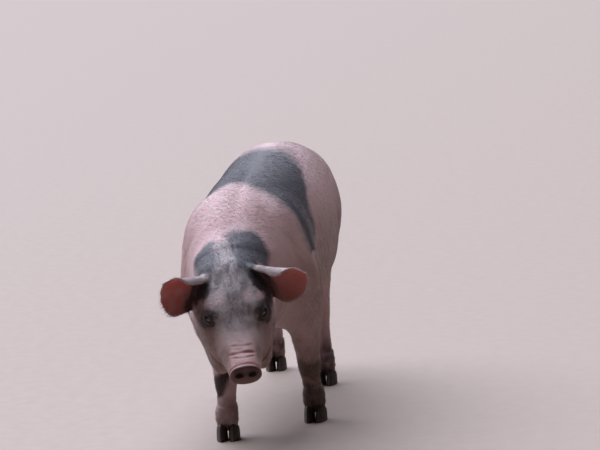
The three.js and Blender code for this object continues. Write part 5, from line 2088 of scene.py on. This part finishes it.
class Grower:
    """Places bristles on the skin and builds them as closed spikes."""

    def __init__(self, skin: Skin, markings: Markings, noise: Lattice) -> None:
        """Takes what the bristles grow on and are coloured by."""
        self.skin, self.markings, self.noise = skin, markings, noise
        self.random = np.random.default_rng(SEED)

    GROWTH = {
        Part.TRUNK: Growth(0.19, 9.0, 0.38, 3.6),
        Part.HEAD: Growth(0.24, 6.8, 0.42, 12.0),
        Part.TAIL: Growth(0.40, 9.0, 0.42, 18.0),
        **dict.fromkeys(EARS, Growth(0.20, 6.0, 0.38, 12.0)),
        **dict.fromkeys(LEGS, Growth(0.15, 9.0, 0.50, 15.0)),
    }
    PATCH = 0.0015
    BLEND = 9.0
    LIMIT = 19500
    QUICK_SHARE = 0.25
    SPINE = -10.0
    STRETCHES = (
        (-FAR, -210.0, "neck"),
        (-210.0, -10.0, "chest"),
        (-10.0, 170.0, "loin"),
        (170.0, FAR, "rump"),
    )
    CORNERS = 12
    POINTS = 7
    TRIANGLE = ((-1.0, -0.35), (1.0, -0.35), (0.0, 0.75))
    DEPTH = 0.35

    def scatter(self) -> Places:
        """Roots over the whole skin, denser where the part's growth says so.

        Returns:
            The roots.
        """
        skin = self.skin
        corners = skin.points[skin.quads]
        centre = corners.mean(axis=1)
        diagonals = np.cross(corners[:, 2] - corners[:, 0], corners[:, 3] - corners[:, 1])
        area = 0.5 * np.linalg.norm(diagonals, axis=1)
        places = Places(skin.form, centre, skin.normals[skin.quads[:, 0]])
        density = self.growth(places)[:, 0] * self.bareness(places)
        total = np.cumsum(area * density * (1.0))
        count = int(total[-1])
        pick = np.searchsorted(total, (np.arange(count) + self.random.random(count)) * total[-1] / count)
        pick = np.minimum(pick, len(corners) - 1)
        u, v = self.random.random((2, count, 1))
        a, b, c, d = (corners[pick, k] for k in range(4))
        roots = (a * (1 - u) + b * u) * (1 - v) + (d * (1 - u) + c * u) * v
        na, nb, nc, nd = (skin.normals[skin.quads[pick, k]] for k in range(4))
        normals = unit((na * (1 - u) + nb * u) * (1 - v) + (nd * (1 - u) + nc * u) * v)
        return Places(skin.form, roots, normals)

    def growth(self, places: Places) -> Array:
        """Density, length, width and lift at points, blended where parts meet.

        Args:
            places: The points.

        Returns:
            Four columns.
        """
        rows = np.array([astuple(self.GROWTH[part]) for part in Part])
        near = np.stack([places.distances[part] for part in Part], axis=1)
        share = np.exp(-(near - near.min(axis=1, keepdims=True)) / self.BLEND)
        return share @ rows / share.sum(axis=1, keepdims=True)

    @staticmethod
    def bareness(places: Places) -> Array:
        """Share of the hair that grows: none on the disc of the snout, in the mouth and on the eyeballs.

        Args:
            places: The points.

        Returns:
            Shares from 0 to 1.
        """
        q, head, on_head = places.head, places.form.head, places.weights[Part.HEAD]
        share = 1.0 - on_head * ease(116.0, 118.5, q[:, 1])
        lips = bell(q[:, 2] - head.mouth_height(q[:, 1]), 2.5) * ease(34.0, 42.0, q[:, 1]) * on_head
        share *= 1.0 - lips
        for side in (1, -1):
            run, rise, out = head.eye_local(q, side).T
            share *= 1.0 - ease(1.15, 0.95, np.hypot(run / 10.5, rise / 7.0)) * ease(-4.0, 0.0, out)
        share *= ease(14.0, 20.0, places.p[:, 2])
        belly = places.of(Part.TRUNK) & (places.normals[:, 2] < -0.6)
        share = np.where(belly, share * 0.6, share)
        for part, name in EARS.items():
            off, edge = places.form.ears[name].sheet(places.p)[2:]
            share *= 1.0 - 0.7 * places.weights[part] * ease(0.3, -0.5, off) * ease(0.95, 0.8, edge)
        return share

    def lengths(self, places: Places) -> tuple[Array, Array, Array]:
        """Length, width and lift angle of the bristle at each root.

        Args:
            places: The roots.

        Returns:
            Three numbers for each root: millimetres, millimetres and degrees.
        """
        _, length, width, lift = self.growth(places).T
        x, y, z = places.p.T
        q, on_head = places.head, places.weights[Part.HEAD]
        muzzle = on_head * ease(-5.0, 70.0, q[:, 1])
        chin = on_head * ease(-28.0, -50.0, q[:, 2])
        back = ease(-60.0, -180.0, y) * ease(0.5, 0.9, places.normals[:, 2])
        crest = bell(x + 18.0, 16.0) * back * (1 - on_head)
        tip = places.of(Part.TAIL) * ease(60.0, 120.0, self.skin.form.tail.nearest(places.p)[1])
        legs = places.owner >= list(Part).index(Part.FORE_LEFT)
        up = ease(60.0, 230.0, z)
        length = length * (1 - 0.52 * muzzle) * (1 + 0.5 * chin) * (1 + 0.3 * crest) * (1 + 1.1 * tip)
        length = length * np.where(legs, 0.62 + 0.6 * up, 1.0)
        width = width * (1 - 0.2 * muzzle) * np.where(legs, 0.8 + 0.25 * up, 1.0)
        for part, name in EARS.items():
            edge = places.form.ears[name].sheet(places.p)[3]
            length = length * (1 + 0.5 * places.weights[part] * ease(0.75, 0.95, edge))
        vary = 0.72 + 0.56 * self.random.random(len(length))
        thick = 0.8 + 0.4 * self.random.random(len(length))
        return length * vary, width * thick, lift + 10 * chin + 6 * crest

    def grow(self, material: bpy.types.Material) -> None:
        """Builds the coat in pieces, one or more for each part.

        Args:
            material: Finish of the bristles.
        """
        places = self.scatter()
        for part in Part:
            mask = places.of(part)
            if part is Part.TRUNK:
                self.grow_trunk(places, mask, material)
            else:
                self.piece(f"coat_{part.value}", part, places, np.flatnonzero(mask), material)

    def grow_trunk(self, places: Places, mask: Array, material: bpy.types.Material) -> None:
        """Builds the trunk's coat in stretches from the neck to the rump, each on one side.

        Args:
            places: All the roots.
            mask: Which of them are on the trunk.
            material: Finish of the bristles.
        """
        order = np.flatnonzero(mask)
        y = places.p[order, 1]
        left = places.p[order, 0] > self.SPINE
        for side, name in ((left, "left"), (~left, "right")):
            for low, high, stretch in self.STRETCHES:
                members = order[side & (y >= low) & (y < high)]
                self.piece(f"coat_{stretch}_{name}", Part.TRUNK, places, members, material)

    def piece(
        self, name: str, part: Part, places: Places, members: Array, material: bpy.types.Material
    ) -> None:
        """Builds one piece of the coat.

        Args:
            name: Name of the object.
            part: Part whose unwrap the piece's map uses.
            places: All the roots.
            members: Which of them belong to this piece.
            material: Finish of the bristles.
        """
        if len(members) > self.LIMIT:
            LOG.warning("%s: %d bristles thinned to %d", name, len(members), self.LIMIT)
            members = np.sort(self.random.permutation(members)[: self.LIMIT])
        group = Places(places.form, places.p[members], places.normals[members])
        group.owner = places.owner[members]
        points, values = self.spikes(group)
        faces, offsets = self.pattern(len(members))
        thing = make_mesh(name, to_frame(points), faces)
        add_values(thing, values)
        flat = group.chart(part)
        low, high = flat.min(axis=0), flat.max(axis=0)
        flat = 0.02 + 0.96 * (flat - low) / (high - low)
        uv = thing.data.uv_layers.new(name=MAP_NAME)
        owner = np.tile(np.repeat(np.arange(len(members)), self.CORNERS), 2)
        spots = flat[owner] + offsets * self.PATCH
        uv.data.foreach_set("uv", spots.astype(np.float32).ravel())
        finish_piece(thing, material)

    def spikes(self, group: Places) -> tuple[Array, dict[str, Array]]:
        """Points and values of the bristles at the roots of one piece.

        Args:
            group: The roots.

        Returns:
            Seven points for each bristle, and values by name for each point.
        """
        count = len(group.p)
        length, width, lift = self.lengths(group)
        normal = group.normals
        lie = group.lie()
        across = np.cross(normal, lie)
        sway = self.random.normal(0.0, 0.10, (count, 1)) + 0.05 * self.noise.at(group.p, 30.0)[:, None]
        lie = unit(lie + sway * across)
        across = unit(np.cross(normal, lie))
        angle = np.radians(np.clip(lift + self.random.normal(0.0, 2.5, count), 2.5, 60.0))[:, None]
        first = lie * np.cos(angle) + normal * np.sin(angle)
        second = lie * np.cos(angle * 0.15) + normal * np.sin(angle * 0.15)
        second = unit(second + self.random.normal(0.0, 0.07, (count, 1)) * across)
        size = length[:, None]
        root = group.p - normal * self.DEPTH
        middle = root + first * size * 0.5
        tip = middle + second * size * 0.5
        out = unit(np.cross(across, lie))
        half = width[:, None] / 2
        rings = [root + across * half * a - out * half * b for a, b in self.TRIANGLE]
        rings += [middle + across * half * 0.72 * a - out * half * 0.6 * b for a, b in self.TRIANGLE]
        points = np.stack([*rings, tip], axis=1).reshape(-1, 3)
        marks = self.markings.at(group, self.noise)
        marks["chance"] = np.clip(self.random.normal(0.5, 0.2, count), 0.0, 1.0)
        values = {name: np.repeat(numbers, self.POINTS) for name, numbers in marks.items()}
        values["tip"] = np.tile([0.0, 0.0, 0.0, 0.5, 0.5, 0.5, 1.0], count)
        return points, values

    @staticmethod
    def pattern(count: int) -> tuple[list[Array], Array]:
        """Faces of all bristles of a piece, and where their corners lie on each one's patch of the map.

        Args:
            count: Number of bristles.

        Returns:
            Quads and triangles, and offsets in two columns.
        """
        sides = np.array([[0, 1, 4, 3], [1, 2, 5, 4], [2, 0, 3, 5]])
        ends = np.array([[3, 4, 6], [4, 5, 6], [5, 3, 6], [2, 1, 0]])
        base = (np.arange(count) * Grower.POINTS)[:, None, None]
        turn = np.radians([210.0, 330.0, 90.0])
        ring = np.stack([np.cos(turn), np.sin(turn)], axis=1)
        spots = np.vstack([ring, ring * 0.55, [[0.0, 0.0]]])
        side_spots = spots[sides].reshape(-1, 2)
        end_spots = spots[ends]
        end_spots[3] = ring[::-1] * 0.1 + np.array([0.9, 0.75])
        offsets = np.vstack([np.tile(side_spots, (count, 1)), np.tile(end_spots.reshape(-1, 2), (count, 1))])
        return [(sides + base).reshape(-1, 4), (ends + base).reshape(-1, 3)], offsets


def ball(levels: int, turns: int) -> tuple[Array, Array]:
    """Rings over a ball of radius 1, from the pole ahead to the one behind, without the poles.

    Args:
        levels: Number of rings.
        turns: Points in each ring.

    Returns:
        Angles from the pole, and directions, one row each.
    """
    tilt = np.linspace(0.0, math.pi, levels + 2)[1:-1]
    turn = np.arange(turns) / turns * 2 * math.pi
    tilts, around = (grid.ravel() for grid in np.meshgrid(tilt, turn, indexing="ij"))
    reach = np.sin(tilts)
    return tilts, np.stack([reach * np.cos(around), reach * np.sin(around), np.cos(tilts)], axis=1)


@dataclass
class Eye:
    """An eyeball with its clear front standing a little proud."""

    head: HeadForm
    side: int
    rings: int = 40
    turns: int = 56
    bulge: float = 0.55
    clear: float = 6.6
    clearance: float = 0.25
    rays: float = 9.0

    def make(self, material: bpy.types.Material) -> bpy.types.Object:
        """Builds the eyeball in place of its node.

        Args:
            material: Finish of the eye.

        Returns:
            The object.
        """
        name = "left" if self.side > 0 else "right"
        head, radius = self.head, self.head.eye_radius - self.clearance
        tilts, directions = ball(self.rings - 1, self.turns)
        front = np.where(tilts < math.pi / 2, radius * np.sin(tilts), FAR)
        grown = radius + self.bulge * ease(self.clear, 0.0, front)
        local = np.vstack([directions * grown[:, None], [[0, 0, radius + self.bulge], [0, 0, -radius]]])
        inner = (local @ head.eye_axes + np.array(head.eye)) * np.array([self.side, 1.0, 1.0])
        faces = ring_faces(self.rings - 1, self.turns)
        if self.side > 0:
            faces = [face[:, ::-1] for face in faces]
        thing = make_mesh(f"eyeball_{name}", to_frame(head.body(inner)), faces)
        pupil = np.where(local[:, 2] > 0, np.hypot(local[:, 0], local[:, 1]), radius)
        around = np.cos(np.arctan2(local[:, 1], local[:, 0]) * self.rays)
        add_values(thing, {"from_pupil": pupil, "around_pupil": around})
        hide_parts(f"eye_{name}")
        finish_piece(thing, material)
        return thing


# How wide a claw is from its sole, at 0, to its top, at 1.
CLAW_PROFILE = ((0, 0.95), (0.08, 0.965), (0.45, 0.94), (0.8, 0.87), (0.93, 0.76), (1, 0.5))


@dataclass
class Foot:
    """The two claws and two dewclaws of one foot."""

    name: str
    limb: LimbForm
    front: float = 25.0
    back: float = 15.0
    half: float = 9.2
    coronet: tuple[float, float] = (31.0, 15.0)
    tapers: tuple[float, float] = (0.50, 0.04)
    widths: tuple[float, float] = (1.05, 1.12)
    rise: float = 0.17
    lean: float = 6.0
    rib: float = 0.002
    rib_pitch: float = 37.0
    spur_radii: Triple = (5.4 * 0.98, 6.6 * 0.98, 10.2 * 0.98)
    spur_lean: float = 0.5
    turns: int = 48
    levels: int = 20
    profile: Table = field(default_factory=lambda: Table(CLAW_PROFILE, 0.01))

    def make(self, material: bpy.types.Material) -> None:
        """Builds the claws in place of their nodes.

        Args:
            material: Finish of the claws.
        """
        for label, way in (("outer", 1), ("inner", -1)):
            claw = self.claw(way)
            self.piece(f"{self.name}_horn_{label}", *claw, f"{self.name}_claw_{label}", material)
            spur = self.dewclaw(way)
            self.piece(f"{self.name}_spur_{label}", *spur, f"{self.name}_dewclaw_{label}", material)

    def piece(
        self, name: str, points: Array, faces: list[Array], node: str, material: bpy.types.Material
    ) -> None:
        """Makes one claw and hides its node.

        Args:
            name: Name of the object.
            points: Its points in the body's millimetres.
            faces: Its faces.
            node: The node that it stands for.
            material: Its finish.
        """
        thing = make_mesh(name, to_frame(points), faces)
        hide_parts(node)
        finish_piece(thing, material)

    def claw(self, way: int) -> tuple[Array, list[Array]]:
        """A claw as a stack of rings.

        Args:
            way: 1 for the outer claw, -1 for the inner one.

        Returns:
            Points and faces.
        """
        angle = np.arange(self.turns) / self.turns * 2 * math.pi
        ahead, wide = np.cos(angle), np.sin(angle)
        outward = wide * way * self.limb.side > 0
        taper = np.where(outward, *self.tapers)
        wide = wide * np.where(ahead > 0, 1 - taper * ahead**2, 1.0) * np.where(outward, *self.widths)
        mean, slope = sum(self.coronet) / 2, (self.coronet[0] - self.coronet[1]) / (self.front + self.back)
        rings = []
        for level in np.linspace(0.0, 1.0, self.levels):
            rib = self.rib * math.sin(level * self.rib_pitch) * (level > 0.05)
            scale = float(self.profile.at(np.array(level), 1)) - rib
            y = -ahead * np.where(ahead > 0, self.front * (1.0 - self.rise * level), self.back) * scale
            across, height = wide * self.half * scale, (mean - y * slope) * level
            rings.append(np.stack([across, y + level * self.lean, height], axis=1))
        return self.placed(rings, way), ring_faces(self.levels, self.turns)

    def placed(self, rings: list[Array], way: int) -> Array:
        """Sets a stack of rings at its place on the foot.

        Args:
            rings: Points of each ring, from the lowest up.
            way: 1 for the outer claw, -1 for the inner one.

        Returns:
            Their points, then the middles of the lowest and the highest ring.
        """
        local = np.vstack([*rings, rings[0].mean(axis=0), rings[-1].mean(axis=0)])
        side, foot = self.limb.side, self.limb.foot
        turn = math.radians(-self.limb.splay * side)
        c, s = math.cos(turn), math.sin(turn)
        x, y = local[:, 0] + way * self.limb.apart * side, local[:, 1]
        return np.stack([x * c - y * s + foot[0] * side, x * s + y * c + foot[1], local[:, 2]], axis=1)

    def dewclaw(self, way: int) -> tuple[Array, list[Array]]:
        """A dewclaw, a blunt lean cone.

        Args:
            way: 1 for the outer dewclaw, -1 for the inner one.

        Returns:
            Points and faces.
        """
        apart, behind, height = self.limb.spur
        across, along, up = self.spur_radii
        tilts, directions = ball(self.levels, self.turns)
        x, y, z = directions.T * np.array([[1.0], [1.0], [-1.0]])
        girth = 0.90 + 0.02 * np.cos(tilts * 9.0) - 0.14 * ease(0.2, -0.9, z)
        local = np.stack([x * girth * across, y * girth * along, z * up], axis=1)
        local = np.vstack([local, [[0, 0, -up], [0, 0, up]]])
        c, s = math.cos(self.spur_lean), math.sin(self.spur_lean)
        y, z = local[:, 1] * c - local[:, 2] * s, local[:, 1] * s + local[:, 2] * c
        last = self.limb.joints[-1]
        x = local[:, 0] + (last[0] + way * apart) * self.limb.side
        return np.stack([x, y + last[1] + behind, z + height], axis=1), ring_faces(self.levels, self.turns)


def ring_faces(levels: int, turns: int) -> list[Array]:
    """Faces over a stack of rings, closed by one point below and one above that follow them.

    Args:
        levels: Number of rings.
        turns: Points in each ring.

    Returns:
        Quads between the rings, then the triangles of both ends.
    """
    start = np.arange(turns)
    after = (start + 1) % turns
    band = np.stack([start, after, turns + after, turns + start], axis=1)
    quads = np.vstack([k * turns + band for k in range(levels - 1)])
    low, last = levels * turns, (levels - 1) * turns
    bottom = np.stack([np.full(turns, low), after, start], axis=1)
    top = np.stack([np.full(turns, low + 1), last + start, last + after], axis=1)
    return [quads, bottom, top]


@dataclass(frozen=True)
class Studio:
    """Pale floor, a broad cool light from behind, a soft warm fill, and the camera."""

    floor_half: float = 60.0
    key_from: Triple = (-0.33, 0.47, 0.82)
    key_power: float = 6.5
    key_spread: float = 72.0
    key_colour: Triple = (0.83, 0.865, 1.0)
    sky_colour: tuple = colour(1.0, 0.82, 0.73)
    sky_power: float = 0.045
    place: Triple = (0.6624, -4.4731, 0.963)
    heading: float = 7.5
    pitch: float = 8.0
    roll: float = 5.0
    lens: float = 160.2
    sensor: float = 36.0
    clip: float = 500.0

    def make(self) -> None:
        """Builds everything that is not part of the object."""
        self.make_floor()
        self.make_lights()
        self.make_camera()
        bpy.context.scene.view_settings.view_transform = "Standard"

    def make_floor(self) -> None:
        """Lays the floor."""
        corners = self.floor_half * np.array([[-1, -1, 0], [1, -1, 0], [1, 1, 0], [-1, 1, 0]], float)
        floor = make_mesh("studio_floor", corners, [np.array([[0, 1, 2, 3]])], smooth=False)
        floor.data.materials.append(FloorFinish().make())

    def make_lights(self) -> None:
        """Hangs the lights and sets the soft light all round."""
        lamp = bpy.data.lights.new("key", "SUN")
        lamp.energy, lamp.color, lamp.angle = self.key_power, self.key_colour, math.radians(self.key_spread)
        key = bpy.data.objects.new("key", lamp)
        bpy.context.scene.collection.objects.link(key)
        toward = np.array(self.key_from)
        key.matrix_world = facing(toward * 4.0, -toward, np.array([0.0, 0.0, 1.0]))
        world = bpy.data.worlds.new("soft_light")
        world.use_nodes = True
        background = world.node_tree.nodes["Background"]
        background.inputs["Color"].default_value = self.sky_colour
        background.inputs["Strength"].default_value = self.sky_power
        bpy.context.scene.world = world

    def make_camera(self) -> None:
        """Sets the camera where it sees the model."""
        heading, pitch, roll = (math.radians(a) for a in (self.heading, self.pitch, self.roll))
        level = np.array([-math.sin(heading), math.cos(heading), 0.0])
        right = np.array([math.cos(heading), math.sin(heading), 0.0])
        up = np.array([0.0, 0.0, 1.0])
        look = level * math.cos(pitch) - up * math.sin(pitch)
        upright = up * math.cos(pitch) + level * math.sin(pitch)
        top = upright * math.cos(roll) + right * math.sin(roll)
        lens = bpy.data.cameras.new("camera")
        lens.lens, lens.sensor_width, lens.clip_end = self.lens, self.sensor, self.clip
        camera = bpy.data.objects.new("camera", lens)
        bpy.context.scene.collection.objects.link(camera)
        camera.matrix_world = facing(np.array(self.place), look, top)
        bpy.context.scene.camera = camera


def facing(place: Array, look: Array, top: Array) -> Matrix:
    """Pose of a light or camera at a place that looks one way with its top another.

    Args:
        place: Where it is.
        look: Which way it looks.
        top: Which way its top points.

    Returns:
        The pose.
    """
    back = -unit(look)
    right = unit(np.cross(top, back))
    top = np.cross(back, right)
    pose = np.eye(4)
    pose[:3, :3] = np.stack([right, top, back], axis=1)
    pose[:3, 3] = place
    return Matrix(pose.tolist())


def main() -> None:
    """Builds the pig and the studio."""
    logging.basicConfig(level=logging.INFO, format="%(name)s: %(message)s")
    form, noise, markings = PigForm(), Lattice(SEED), Markings()
    skin = Skin(form)
    Hide(skin, markings, noise).make(HideFinish().make())
    horn, eye = ClawFinish().make(), EyeFinish().make()
    for side in (1, -1):
        Eye(form.head, side).make(eye)
    for name, limb in form.limbs.items():
        Foot(name, limb).make(horn)
    Grower(skin, markings, noise).grow(HairFinish().make())
    Studio().make()


if __name__ == "__main__":
    main()
